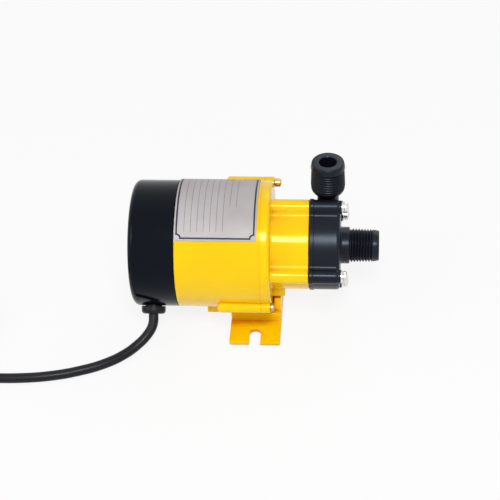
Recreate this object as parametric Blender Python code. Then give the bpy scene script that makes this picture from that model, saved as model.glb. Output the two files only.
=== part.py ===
"""A small magnetic drive pump: mains motor, magnetic coupling and wet end, on a slotted foot.

The pump's axis lies along X with the inlet at +X. The origin is under the axis, at the foot's underside.
Lengths are written and meshes are made in millimetres, which keeps the Booleans of such small
shapes exact, and each object's scale brings it to its real size in metres.
"""

import math

import bmesh
import bpy
from mathutils import Matrix, Vector

MM = 0.001

# How many flat sides round shapes of each size get
LARGE = 40
MIDDLE = 24
SMALL = 16
HEAD = 12
HOLE = 10
WASHER_SIDES = 16

# Shared clearances and fits
GAP = 0.3
RUNNING_GAP = 0.7

# The big diameters
MOTOR_R = 39.8
HOUSING_WALL = 3.8
COVER_WALL = 2.2
COVER_BACK_WALL = 3.2
COVER_FILLET = 4.0

# Where the outer castings begin and end along the axis
COVER_BACK_X = -74.5
COVER_FRONT_X = -46.1
HOUSING_FRONT_X = 6.2
FLANGE_FRONT_X = 12.1
FLANGE_EDGE_R = 2.0
BRACKET_FRONT_X = 35.6

# The lobed outline that bracket and front casing share
CASING_R = 27.9
LOBE_R = 4.6
LOBE_CIRCLE_R = 30.2
LOBE_FILLET = 3.0
LOBE_COUNT = 4

# The foot, the seats above it, and the axis height that they give
FOOT_HEIGHT = 9.0
FOOT_X = 1.3
FOOT_HALF_LENGTH = 16.1
FOOT_HALF_WIDTH = 38.2
FOOT_THICK = 3.1
SLOT_WIDTH = 7.0
SLOT_DEPTH = 12.4
PEDESTAL_HALF_WIDTH = 18.3
PEDESTAL_INSET = 0.2
WEB_THICK = 4.4
WEB_CLEARANCE = 1.7
PAD_RISE = 14.9
MOTOR_SEAT_Z = -(MOTOR_R + 2.5)
MOTOR_PAD_BACK_X = -29.6
BRACKET_SEAT_Z = -(CASING_R + 2.8)
BRACKET_SEAT_LENGTH = 7.9
BRACKET_SEAT_HALF_WIDTH = 15.0
BRACKET_SEAT_RISE = 10.8
AXIS_HEIGHT = FOOT_HEIGHT + GAP - MOTOR_SEAT_Z
FOOT_HOLE_DEPTH = 5.2
FOOT_SCREW_BITE = 2.2
FOOT_SCREW_X = (-9.0, 9.3)

# The two bolts that pull bracket and housing together
BOLT_ANGLES = (-58.0, 122.0)
BOLT_CIRCLE_R = MOTOR_R + 1.5
BOLT_BACK_X = (-18.7, -20.9)
RIB_R = 3.7
BOLT_SHANK_R = 1.7
BOLT_HEAD_R = 2.7
BOLT_HEAD_LENGTHS = (4.2, 2.4)
BOLT_LENGTH = 26.0

# Motor shaft and its bearings
SHAFT_R = 4.0
SHAFT_BACK_X = -66.5
BEARING_R = 11.0
BEARING_WIDTH = 7.0
RACE_THICK = 1.7
BALL_R = 1.25
BALL_COUNT = 7
CAGE_HALF_THICK = 0.5
CAGE_WIDTH = 2.4
FRONT_BEARING_X = 2.3
REAR_BEARING_X = -50.0
HUB_WALL = 2.7
LIP_THICK = 1.9

# Stator, windings and rotor
STACK_BACK_X = -34.0
STACK_LENGTH = 26.0
STATOR_DEPTH = 17.9
AIR_GAP = 0.5
ROTOR_R = MOTOR_R - HOUSING_WALL - GAP - STATOR_DEPTH - AIR_GAP
SLOT_COUNT = 8
STATOR_SLOT_WIDTH = 6.0
STATOR_YOKE = 6.5
WINDING_INNER_R = ROTOR_R + AIR_GAP + 1.7
WINDING_OUTER_R = MOTOR_R - HOUSING_WALL - 4.6
WINDING_OVERHANG = 7.6
END_RING_THICK = 3.0
SHIELD_THICK = 2.6

# Rear cover's fixings and vents, and the fan inside the screw posts
FAN_HUB_R = 7.0
FAN_BACK_X = -66.0
FAN_LENGTH = 10.0
FAN_PLATE_THICK = 1.4
BLADE_THICK = 1.4
BLADE_COUNT = 7
COVER_SCREW_INSET = 13.4
COVER_SCREW_Y = MOTOR_R - COVER_SCREW_INSET
COVER_SCREW_R = 1.45
COVER_SCREW_HEAD_R = 3.1
COVER_SCREW_LENGTH = 15.0
POST_R = 3.4
FAN_CLEARANCE = 1.1
FAN_R = COVER_SCREW_Y - POST_R - FAN_CLEARANCE
VENT_COUNT = 12
VENT_INNER_R = 9.0
VENT_OUTER_R = COVER_SCREW_Y - COVER_SCREW_HEAD_R - 2.9
VENT_WIDTH = 2.6

# Magnetic coupling, from the shaft outwards
YOKE_WEB = 5.0
YOKE_WALL = 2.8
DRIVE_MAGNET_THICK = 3.7
DRIVE_MAGNET_LENGTH = 15.6
SET_SCREW_R = 1.2
SET_SCREW_LENGTH = 7.0
CAN_R = 14.0
CAN_WALL = 1.3
CAN_BACK_X = 18.5
CAN_FLANGE_R = 24.5
CAN_FLANGE_THICK = 3.0
COUPLING_GAP = 1.0
BRACKET_BORE_R = 23.5

# Spindle, thrust rings and impeller
SPINDLE_R = 3.0
SPINDLE_BOSS_R = 5.6
SPINDLE_BOSS_LENGTH = 3.2
THRUST_THICK = 1.2
THRUST_R = 5.4
BUSH_WALL = 1.3
SLEEVE_WALL = 1.5
JACKET_WALL = 0.8
MAGNET_CAP_THICK = 1.3
DRIVEN_MAGNET_LENGTH = 10.2
IMPELLER_R = 18.0
SHROUD_THICK = 1.5
VANE_HEIGHT = 5.0
VANE_THICK = 1.4
VANE_COUNT = 6
VANE_SWEEP = 50.0
EYE_R = 9.6

# Front casing: pumping chamber, inlet and outlet
RIM_THICK = 2.6
RIM_STEP = 0.5
CASING_FACE_X = 54.7
BOSS_HEIGHT = 0.7
BOSS_R = 4.2
CHAMBER_R = 21.0
CHAMBER_DEPTH = 10.3
O_RING_R = 0.8
THROAT_R = 9.0
PORT_BORE_R = 5.4
INLET_NECK_R = 11.5
INLET_NECK_LENGTH = 5.7
THREAD_CREST_R = 10.7
THREAD_DEPTH = 1.1
THREAD_PITCH = 1.814
THREAD_TURNS = 8
THREAD_TAPER = 0.06
PORT_END_R = 9.4
PORT_END_LENGTH = 3.6
OUTLET_X = 46.6
OUTLET_Y = 16.0
OUTLET_NECK_R = 6.7
OUTLET_NECK_BORE_R = 4.4
OUTLET_SHOULDER_Z = 30.5
OUTLET_SHOULDER_HEIGHT = 4.0
OUTLET_MOUTH_DEPTH = 12.0
SPIDER_HUB_R = 4.8
SPIDER_RIB = 1.6
SPIDER_COUNT = 3

# Head screws
HEAD_SHANK_R = 1.7
HEAD_R = 3.5
HEAD_HEIGHT = 2.6
HEAD_SCREW_LENGTH = 30.0
WASHER_R = 4.1
WASHER_THICK = 1.2

# Places along the wet end, each worked out from the piece behind it
BOSS_FRONT_X = CASING_FACE_X + BOSS_HEIGHT
WASHER_SEAT_X = BOSS_FRONT_X + GAP
CAN_INSIDE_X = CAN_BACK_X + CAN_WALL
REAR_THRUST_X = CAN_INSIDE_X + SPINDLE_BOSS_LENGTH + GAP
SLEEVE_BACK_X = REAR_THRUST_X + THRUST_THICK + GAP
CHAMBER_BACK_X = BRACKET_FRONT_X + 2 * GAP + CAN_FLANGE_THICK
SHROUD_BACK_X = CHAMBER_BACK_X + RUNNING_GAP + 0.2
SHROUD_FRONT_X = SHROUD_BACK_X + SHROUD_THICK
SLEEVE_FRONT_X = SHROUD_FRONT_X + VANE_HEIGHT + SHROUD_THICK + 0.1
FRONT_THRUST_X = SLEEVE_FRONT_X + GAP
SPIDER_BACK_X = FRONT_THRUST_X + THRUST_THICK + GAP
SPIDER_FRONT_X = SPIDER_BACK_X + 4.9
SPINDLE_BACK_X = CAN_INSIDE_X + 0.2 + GAP
SPINDLE_FRONT_X = SPIDER_FRONT_X - 1.3

# Label plate
LABEL_BACK_X = -45.6
LABEL_FRONT_X = 4.5
LABEL_FAR_ANGLE = -38.6
LABEL_NEAR_ANGLE = 48.1
LABEL_THICK = 0.4

# Strain relief, cord and plug
GLAND_X = -62.4
GLAND_ANGLE = 137.0
GLAND_FLANGE_R = 7.6
GLAND_FLANGE_THICK = 4.9
GLAND_NECK_R = 5.2
GLAND_NECK_LENGTH = 7.0
CORD_R = 3.1
CORD_SOCKET_DEPTH = 2.5
CORD_STEPS = 28
TAIL_STEPS = 3
COIL_PITCH = 6.3
COIL_MEAN_R = 33.0
COIL_TURNS_PER_LAYER = 3.625
COIL_LAYERS = 2
COIL_CENTRE = (-213.7, -30.6)
TAIL_LENGTH = 45.0
PLUG_SLEEVE_LENGTH = 16.0
PLUG_BODY_LENGTH = 34.0
PLUG_BODY_WIDTH = 26.0
PLUG_BODY_THICK = 14.0
PLUG_PIN_R = 2.0
PLUG_PIN_LENGTH = 19.0
PLUG_PIN_SPACING = 19.0

# The lie of the cord from the strain relief to the coil, chosen by eye
CORD_ROUTE = (
    (-62.9, -35.6, 13.4),
    (-66.6, -40.4, 8.7),
    (-72.0, -45.4, 5.4),
    (-79.6, -52.2, 3.5),
    (-91.0, -60.4, 3.1),
    (-106.0, -67.2, 3.1),
    (-123.0, -72.0, 3.1),
    (-142.0, -74.5, 3.1),
    (-163.0, -75.0, 3.1),
)


def new_material(name, colour, roughness, metallic=0.0):
    """Make a plain finish in the part's own colour."""
    material = bpy.data.materials.new(name)
    material.use_nodes = True
    shader = material.node_tree.nodes["Principled BSDF"]
    shader.inputs["Base Color"].default_value = (*colour, 1.0)
    shader.inputs["Roughness"].default_value = roughness
    shader.inputs["Metallic"].default_value = metallic
    material.diffuse_color = (*colour, 1.0)
    return material


def finish_object(name, mesh, material, location=(0, 0, 0), direction=(1, 0, 0)):
    """Put a mesh in the scene with its own X axis along a direction, round faces smooth."""
    mesh.shade_smooth()
    mesh.set_sharp_from_angle(angle=math.radians(35))
    made = bpy.data.objects.new(name, mesh)
    bpy.context.scene.collection.objects.link(made)
    made.location = [value * MM for value in location]
    made.scale = (MM, MM, MM)
    made.rotation_mode = "QUATERNION"
    made.rotation_quaternion = Vector((1, 0, 0)).rotation_difference(Vector(direction))
    if material:
        mesh.materials.append(material)
    else:
        made.hide_render = True
        made.display_type = "WIRE"
    return made


def mesh_from(name, builder):
    """Turn a bmesh into a mesh with its faces pointing out."""
    bmesh.ops.recalc_face_normals(builder, faces=builder.faces)
    mesh = bpy.data.meshes.new(name)
    builder.to_mesh(mesh)
    builder.free()
    return mesh


def lathe(name, profile, segments=LARGE, closed=True):
    """Turn a profile of (x, radius) points about the X axis."""
    builder = bmesh.new()
    points = [builder.verts.new((x, 0, r)) for x, r in profile]
    edges = [builder.edges.new(pair) for pair in zip(points, points[1:])]
    if closed:
        edges.append(builder.edges.new((points[-1], points[0])))
    bmesh.ops.spin(
        builder,
        geom=points + edges,
        cent=(0, 0, 0),
        axis=(1, 0, 0),
        angle=math.tau,
        steps=segments,
        use_merge=True,
    )
    bmesh.ops.remove_doubles(builder, verts=builder.verts, dist=1e-4)
    return mesh_from(name, builder)


def turned(name, profile, material, segments=LARGE, closed=True, location=None, direction=(1, 0, 0)):
    """Make a turned piece, on the pump's axis unless a place is given."""
    place = (0, 0, AXIS_HEIGHT) if location is None else location
    return finish_object(name, lathe(name, profile, segments, closed), material, place, direction)


def rod_profile(start, end, radius, chamfer=0.0):
    """Give the profile of a plain rod from start to end."""
    if not chamfer:
        return [(start, 0), (start, radius), (end, radius), (end, 0)]
    return [
        (start, 0),
        (start, radius - chamfer),
        (start + chamfer, radius),
        (end - chamfer, radius),
        (end, radius - chamfer),
        (end, 0),
    ]


def tube_profile(start, end, inner, outer):
    """Give the profile of a plain tube or ring from start to end."""
    return [(start, inner), (start, outer), (end, outer), (end, inner)]


def rod(name, start, end, radius, material=None, segments=SMALL, location=None, direction=(1, 0, 0)):
    """Make a plain rod, which is a hidden cutter unless it has a material."""
    profile = rod_profile(start, end, radius)
    return turned(name, profile, material, segments, False, location, direction)


def prism(name, outline, low, high, material=None, location=None, direction=(1, 0, 0)):
    """Extrude a (y, z) outline along X from low to high."""
    builder = bmesh.new()
    face = builder.faces.new([builder.verts.new((low, y, z)) for y, z in outline])
    grown = bmesh.ops.extrude_face_region(builder, geom=[face])["geom"]
    moved = [item for item in grown if isinstance(item, bmesh.types.BMVert)]
    bmesh.ops.translate(builder, verts=moved, vec=(high - low, 0, 0))
    place = (0, 0, AXIS_HEIGHT) if location is None else location
    return finish_object(name, mesh_from(name, builder), material, place, direction)


def block(name, low, high, material=None, location=None):
    """Make a box from its low corner to its high corner."""
    outline = [(low[1], low[2]), (high[1], low[2]), (high[1], high[2]), (low[1], high[2])]
    return prism(name, outline, low[0], high[0], material, location)


def boolean(target, others, operation):
    """Add hidden shapes to a piece's last Boolean, or to a new one where the operation changes."""
    last = target.modifiers[-1] if target.modifiers else None
    if last is None or last.operation != operation:
        if last:
            target.modifiers.new("triangles", "TRIANGULATE")
        last = target.modifiers.new(operation.lower(), "BOOLEAN")
        last.operation = operation
        last.operand_type = "COLLECTION"
        last.collection = bpy.data.collections.new(f"{target.name}_{operation.lower()}")
    for other in others:
        last.collection.objects.link(other)


def join(target, *others):
    """Weld shapes on to a piece."""
    boolean(target, others, "UNION")


def cut(target, *others):
    """Take shapes out of a piece."""
    boolean(target, others, "DIFFERENCE")


def merged(name, meshes_and_places):
    """Gather separate shapes into one hidden helper."""
    builder = bmesh.new()
    for mesh, place in meshes_and_places:
        mesh.transform(place)
        builder.from_mesh(mesh)
    return finish_object(name, mesh_from(name, builder), None, (0, 0, AXIS_HEIGHT))


def around(angle, radius):
    """Give (y, z) at an angle from straight up, turning towards -Y."""
    turn = math.radians(angle)
    return -radius * math.sin(turn), radius * math.cos(turn)


def at_angle(angle, radius, x=0.0):
    """Give a point in the room at an angle and radius about the pump's axis."""
    y, z = around(angle, radius)
    return x, y, z + AXIS_HEIGHT


def arc(centre, radius, start, end, steps):
    """List the points of an arc, both ends included, angles in radians from +Y."""
    turns = [start + (end - start) * step / steps for step in range(steps + 1)]
    return [
        (centre[0] + radius * math.cos(turn), centre[1] + radius * math.sin(turn))
        for turn in turns
    ]


def lobed_outline(grow=0.0):
    """Draw the round body with its screw lobes and filleted valleys."""
    body = CASING_R + grow
    lobe = LOBE_R + grow
    fillet = LOBE_FILLET - grow
    reach = body + fillet
    spread = math.acos(
        (reach**2 + LOBE_CIRCLE_R**2 - (lobe + fillet) ** 2) / (2 * LOBE_CIRCLE_R * reach)
    )
    valley = (reach * math.cos(spread), reach * math.sin(spread))
    opening = math.atan2(valley[1], valley[0] - LOBE_CIRCLE_R)
    quarter = math.tau / LOBE_COUNT
    first = arc((LOBE_CIRCLE_R, 0), lobe, -opening, opening, 7)
    second = arc(valley, fillet, opening + math.pi, spread + math.pi, 3)[1:]
    third = arc((0, 0), body, spread, quarter - spread, 6)[1:]
    mirrored = (reach * math.cos(quarter - spread), reach * math.sin(quarter - spread))
    back = quarter - spread + math.pi
    fourth = arc(mirrored, fillet, back, quarter - opening + math.pi, 3)[1:-1]
    points = []
    for index in range(LOBE_COUNT):
        turn = Matrix.Rotation(quarter * index, 2)
        points += [tuple(turn @ Vector(point)) for point in first + second + third + fourth]
    return points


def lobe_angles():
    return [360.0 / LOBE_COUNT * index for index in range(LOBE_COUNT)]


def thread(start, turns=THREAD_TURNS):
    """List the ridges of a port's taper thread, from its thick end outwards."""
    points = []
    for index in range(turns):
        crest = THREAD_CREST_R - THREAD_TAPER * index
        at = start + THREAD_PITCH * index
        points.append((at, crest - THREAD_DEPTH))
        points.append((at + THREAD_PITCH / 2, crest))
    points.append((start + THREAD_PITCH * turns, PORT_END_R))
    return points


def screw(name, material, seat, direction, head_r, head_height, shank_r, length, segments=HEAD):
    """Make a pan head screw: head above its seat, shank below, pointing along direction."""
    dome = head_height * 0.3
    profile = [
        (length, 0),
        (length, shank_r - 0.4),
        (length - 0.4, shank_r),
        (0, shank_r),
        (0, head_r),
        (-head_height + dome, head_r),
        (-head_height, head_r - dome),
        (-head_height, 0),
    ]
    return turned(name, profile[::-1], material, segments, False, seat, direction)


def smooth_route(points, count):
    """Read a smooth curve through the chosen points at even steps."""
    route = [Vector(point) for point in points]
    route = [2 * route[0] - route[1], *route, 2 * route[-1] - route[-2]]
    dense = []
    for a, b, c, d in zip(route, route[1:], route[2:], route[3:]):
        for step in range(24):
            t = step / 24
            dense.append(
                0.5
                * (
                    2 * b
                    + (c - a) * t
                    + (2 * a - 5 * b + 4 * c - d) * t**2
                    + (3 * b - a - 3 * c + d) * t**3
                )
            )
    dense.append(route[-2])
    lengths = [0.0]
    for first, second in zip(dense, dense[1:]):
        lengths.append(lengths[-1] + (second - first).length)
    even = []
    index = 0
    for step in range(count):
        want = lengths[-1] * step / (count - 1)
        while index < len(lengths) - 2 and lengths[index + 1] < want:
            index += 1
        share = (want - lengths[index]) / (lengths[index + 1] - lengths[index])
        even.append(dense[index].lerp(dense[index + 1], share))
    return even


def cord_tube(name, points, material):
    """Run a round cord along points."""
    curve = bpy.data.curves.new(name, "CURVE")
    curve.dimensions = "3D"
    curve.bevel_depth = CORD_R
    curve.bevel_resolution = 2
    curve.use_fill_caps = True
    spline = curve.splines.new("POLY")
    spline.points.add(len(points) - 1)
    for item, point in zip(spline.points, points):
        item.co = (*point, 1)
    curve.materials.append(material)
    made = bpy.data.objects.new(name, curve)
    made.scale = (MM, MM, MM)
    bpy.context.scene.collection.objects.link(made)
    return made


def make_rear_cover(material):
    """Moulded cup over the fan, with vents and two sunk screws in its back."""
    fillet = arc((0, 0), COVER_FILLET, math.pi / 2, math.pi, 5)
    corner = [
        (COVER_BACK_X + COVER_FILLET + y, MOTOR_R - COVER_FILLET + z) for y, z in fillet
    ]
    profile = [(COVER_FRONT_X, 0), (COVER_FRONT_X, MOTOR_R), *corner, (COVER_BACK_X, 0)]
    cover = turned("rear_cover", profile[::-1], material, LARGE, False)
    inside = COVER_BACK_X + COVER_BACK_WALL
    inner_r = MOTOR_R - COVER_WALL
    hollow = [(inside, 0), (inside, inner_r - 2), (inside + 2, inner_r)]
    hollow += [(COVER_FRONT_X + 1, inner_r), (COVER_FRONT_X + 1, 0)]
    cut(cover, turned("cover_hollow", hollow, None, MIDDLE, False))
    vents = []
    for index in range(VENT_COUNT):
        slot = block("vent", (COVER_BACK_X - 1, -VENT_WIDTH / 2, VENT_INNER_R),
                     (inside + 1, VENT_WIDTH / 2, VENT_OUTER_R)).data
        vents.append((slot, Matrix.Rotation(math.tau * (index + 0.5) / VENT_COUNT, 4, "X")))
    cut(cover, merged("cover_vents", vents))
    for side in (-1, 1):
        at = (0, side * COVER_SCREW_Y, AXIS_HEIGHT)
        sink = COVER_BACK_X + head_depth()
        cut(cover, rod("cover_sink", COVER_BACK_X - 1, sink, COVER_SCREW_HEAD_R + GAP,
                       location=at))
        cut(cover, rod("cover_hole", COVER_BACK_X, inside + 1, COVER_SCREW_R + GAP,
                       segments=HOLE, location=at))
    hole = rod("gland_hole", MOTOR_R - 8, MOTOR_R + 4, GLAND_NECK_R + GAP,
               location=(GLAND_X, 0, AXIS_HEIGHT), direction=gland_direction())
    cut(cover, hole)
    return cover


def head_depth():
    """How deep the rear cover's screw heads are sunk."""
    return COVER_BACK_WALL * 0.6


def gland_direction():
    y, z = around(GLAND_ANGLE, 1.0)
    return 0, y, z


def make_cover_screws(material):
    for side, name in ((-1, "near"), (1, "far")):
        seat = (COVER_BACK_X + head_depth() - GAP, side * COVER_SCREW_Y, AXIS_HEIGHT)
        screw(f"cover_screw_{name}", material, seat, (1, 0, 0), COVER_SCREW_HEAD_R,
              head_depth() - 2 * GAP, COVER_SCREW_R, COVER_SCREW_LENGTH)


def make_housing(material):
    """Cast motor body with its seat for the foot and two ribs for the bolts."""
    back = COVER_FRONT_X + GAP
    housing = turned("motor_housing", rod_profile(back, HOUSING_FRONT_X, MOTOR_R), material,
                     LARGE, False)
    join(housing, block("housing_pad", (MOTOR_PAD_BACK_X, -PEDESTAL_HALF_WIDTH, MOTOR_SEAT_Z),
                        (HOUSING_FRONT_X - GAP, PEDESTAL_HALF_WIDTH,
                         MOTOR_SEAT_Z + PAD_RISE)))
    for angle, rib_back in zip(BOLT_ANGLES, BOLT_BACK_X):
        profile = [(rib_back - 2, 0), (rib_back - 2, RIB_R - 2), (rib_back, RIB_R)]
        profile += [(HOUSING_FRONT_X - GAP / 2, RIB_R), (HOUSING_FRONT_X - GAP / 2, 0)]
        join(housing, turned("housing_rib", profile, None, HEAD, False,
                             at_angle(angle, BOLT_CIRCLE_R)))
    cut(housing, rod("housing_bore", back - 1, HOUSING_FRONT_X + 1, MOTOR_R - HOUSING_WALL,
                     segments=LARGE))
    bolt_end = FLANGE_FRONT_X + GAP - BOLT_LENGTH - 1
    for angle in BOLT_ANGLES:
        cut(housing, rod("housing_bolt_hole", bolt_end, HOUSING_FRONT_X + 1,
                         BOLT_SHANK_R + GAP, segments=HOLE, location=at_angle(angle, BOLT_CIRCLE_R)))
    cut(housing, rod("housing_foot_hole", MOTOR_SEAT_Z - 1, MOTOR_SEAT_Z + FOOT_HOLE_DEPTH,
                     BOLT_SHANK_R + GAP, segments=HOLE,
                     location=(FOOT_SCREW_X[0], 0, AXIS_HEIGHT), direction=(0, 0, 1)))
    return housing


def make_label(material):
    """Thin curved plate wrapped over the top of the motor."""
    inner = MOTOR_R + GAP
    low = math.radians(90 + LABEL_FAR_ANGLE)
    high = math.radians(90 + LABEL_NEAR_ANGLE)
    outline = arc((0, 0), inner + LABEL_THICK, low, high, 18)
    outline += arc((0, 0), inner, high, low, 18)
    return prism("label_plate", outline, LABEL_BACK_X, LABEL_FRONT_X, material)


def make_bracket(material):
    """Cast bracket: motor flange, front bearing seat and the lobed magnet chamber."""
    back = HOUSING_FRONT_X + GAP
    edge = arc((0, 0), FLANGE_EDGE_R, math.pi / 2, 0, 3)
    rounded = [
        (FLANGE_FRONT_X - FLANGE_EDGE_R + y, MOTOR_R - FLANGE_EDGE_R + z) for y, z in edge
    ]
    bracket = turned("pump_bracket", [(back, 0), (back, MOTOR_R), *rounded, (FLANGE_FRONT_X, 0)],
                     material, LARGE, False)
    join(bracket, prism("bracket_body", lobed_outline(), FLANGE_FRONT_X - 1, BRACKET_FRONT_X))
    join(bracket, block("bracket_pad",
                        (back + PEDESTAL_INSET, -PEDESTAL_HALF_WIDTH, MOTOR_SEAT_Z),
                        (FLANGE_FRONT_X - PEDESTAL_INSET, PEDESTAL_HALF_WIDTH,
                         MOTOR_SEAT_Z + PAD_RISE)))
    seat_front = FLANGE_FRONT_X + BRACKET_SEAT_LENGTH
    join(bracket, block("bracket_seat",
                        (FLANGE_FRONT_X - 1, -BRACKET_SEAT_HALF_WIDTH, BRACKET_SEAT_Z),
                        (seat_front, BRACKET_SEAT_HALF_WIDTH,
                         BRACKET_SEAT_Z + BRACKET_SEAT_RISE)))
    hub_r = BEARING_R + GAP + HUB_WALL
    join(bracket, rod("bracket_hub", FRONT_BEARING_X - GAP, back + 1, hub_r, segments=MIDDLE))
    for angle in BOLT_ANGLES:
        join(bracket, rod("bracket_rib", back + GAP / 2, FLANGE_FRONT_X - GAP / 2, RIB_R,
                          segments=HEAD, location=at_angle(angle, BOLT_CIRCLE_R)))
    cut(bracket, block("bracket_seat_face",
                       (FLANGE_FRONT_X + 0.1, -BRACKET_SEAT_HALF_WIDTH - 1, BRACKET_SEAT_Z - 9),
                       (seat_front + 0.1, BRACKET_SEAT_HALF_WIDTH + 1, BRACKET_SEAT_Z + 0.05)))
    cut(bracket, rod("bracket_bore", FLANGE_FRONT_X + 0.1, BRACKET_FRONT_X + 1, BRACKET_BORE_R,
                     segments=MIDDLE))
    seat_end = FRONT_BEARING_X + BEARING_WIDTH + GAP
    cut(bracket, rod("front_bearing_seat", FRONT_BEARING_X - 2, seat_end, BEARING_R + GAP,
                     segments=MIDDLE))
    cut(bracket, rod("bracket_shaft_hole", seat_end - 1, FLANGE_FRONT_X + 1, BEARING_R - 3,
                     segments=MIDDLE))
    screw_end = WASHER_SEAT_X + WASHER_THICK + 2 * GAP - HEAD_SCREW_LENGTH - 1
    for angle in lobe_angles():
        cut(bracket, rod("bracket_screw_hole", screw_end, BRACKET_FRONT_X + 1,
                         HEAD_SHANK_R + GAP, segments=HOLE,
                         location=at_angle(angle, LOBE_CIRCLE_R)))
    for angle in BOLT_ANGLES:
        cut(bracket, rod("bracket_bolt_hole", back - 1, FLANGE_FRONT_X + 1, BOLT_SHANK_R + GAP,
                         segments=HOLE, location=at_angle(angle, BOLT_CIRCLE_R)))
    cut(bracket, rod("bracket_foot_hole", MOTOR_SEAT_Z - 1, MOTOR_SEAT_Z + FOOT_HOLE_DEPTH,
                     BOLT_SHANK_R + GAP, segments=HOLE,
                     location=(FOOT_SCREW_X[1], 0, AXIS_HEIGHT), direction=(0, 0, 1)))
    return bracket


def make_foot(material):
    """Slotted plate, the pedestal under the motor and the web under the bracket."""
    ground = (FOOT_X, 0, 0)
    inset = FOOT_HALF_LENGTH - PEDESTAL_INSET
    foot = block("foot", (-FOOT_HALF_LENGTH, -FOOT_HALF_WIDTH, 0),
                 (FOOT_HALF_LENGTH, FOOT_HALF_WIDTH, FOOT_THICK), material, ground)
    pedestal_top = FOOT_HEIGHT
    join(foot, block("foot_pedestal", (-inset, -PEDESTAL_HALF_WIDTH, FOOT_THICK / 2),
                     (inset, PEDESTAL_HALF_WIDTH, pedestal_top), None, ground))
    web_half = BRACKET_SEAT_HALF_WIDTH - PEDESTAL_INSET
    web_top = AXIS_HEIGHT + BRACKET_SEAT_Z - WEB_CLEARANCE
    join(foot, block("foot_web", (inset - WEB_THICK, -web_half, pedestal_top - 2),
                     (inset - 0.1, web_half, web_top), None, ground))
    half = SLOT_WIDTH / 2
    end = FOOT_HALF_WIDTH - SLOT_DEPTH + half
    for side in (-1, 1):
        outline = [(y, side * z) for y, z in arc((0, end), half, -math.pi, 0, 12)]
        outline += [(half, side * (FOOT_HALF_WIDTH + 1)), (-half, side * (FOOT_HALF_WIDTH + 1))]
        upright = [(z, y) for y, z in outline]
        cut(foot, prism("foot_slot", upright, -1, FOOT_THICK + 1, None, ground, (0, 0, 1)))
    for x in FOOT_SCREW_X:
        at = (x, 0, 0)
        cut(foot, rod("foot_screw_hole", -1, pedestal_top + 1, BOLT_SHANK_R + GAP, None, HOLE, at,
                      (0, 0, 1)))
        cut(foot, rod("foot_screw_sink", -1, HEAD_HEIGHT + GAP, HEAD_R + GAP, None, SMALL, at,
                      (0, 0, 1)))
    return foot


def make_foot_screws(material):
    for x, name in zip(FOOT_SCREW_X, ("rear", "front")):
        screw(f"foot_screw_{name}", material, (x, 0, HEAD_HEIGHT), (0, 0, 1), HEAD_R,
              HEAD_HEIGHT - GAP, BOLT_SHANK_R, FOOT_HEIGHT + GAP + FOOT_SCREW_BITE)


def make_bolts(material):
    for angle, head, name in zip(BOLT_ANGLES, BOLT_HEAD_LENGTHS, ("upper", "lower")):
        seat = at_angle(angle, BOLT_CIRCLE_R, FLANGE_FRONT_X + GAP)
        screw(f"housing_bolt_{name}", material, seat, (-1, 0, 0), BOLT_HEAD_R, head,
              BOLT_SHANK_R, BOLT_LENGTH)


def make_bearing(prefix, start, steel, brass):
    """Make a ball bearing: outer race, inner race, and the balls in their cage."""
    end = start + BEARING_WIDTH
    inner = SHAFT_R + GAP
    turned(f"{prefix}_bearing_outer_race",
           tube_profile(start, end, BEARING_R - RACE_THICK, BEARING_R), steel, MIDDLE)
    turned(f"{prefix}_bearing_inner_race",
           tube_profile(start, end, inner, inner + RACE_THICK), steel, MIDDLE)
    middle = start + BEARING_WIDTH / 2
    pitch_r = (inner + BEARING_R) / 2
    cage = turned(f"{prefix}_bearing_ball_cage",
                  tube_profile(middle - CAGE_WIDTH / 2, middle + CAGE_WIDTH / 2,
                               pitch_r - CAGE_HALF_THICK, pitch_r + CAGE_HALF_THICK), brass, SMALL)
    balls = []
    for index in range(BALL_COUNT):
        builder = bmesh.new()
        bmesh.ops.create_uvsphere(builder, u_segments=8, v_segments=5, radius=BALL_R)
        y, z = around(360 * index / BALL_COUNT, pitch_r)
        balls.append((mesh_from("ball", builder),
                      Matrix.Translation((middle, y, z))))
    join(cage, merged(f"{prefix}_balls", balls))


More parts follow.
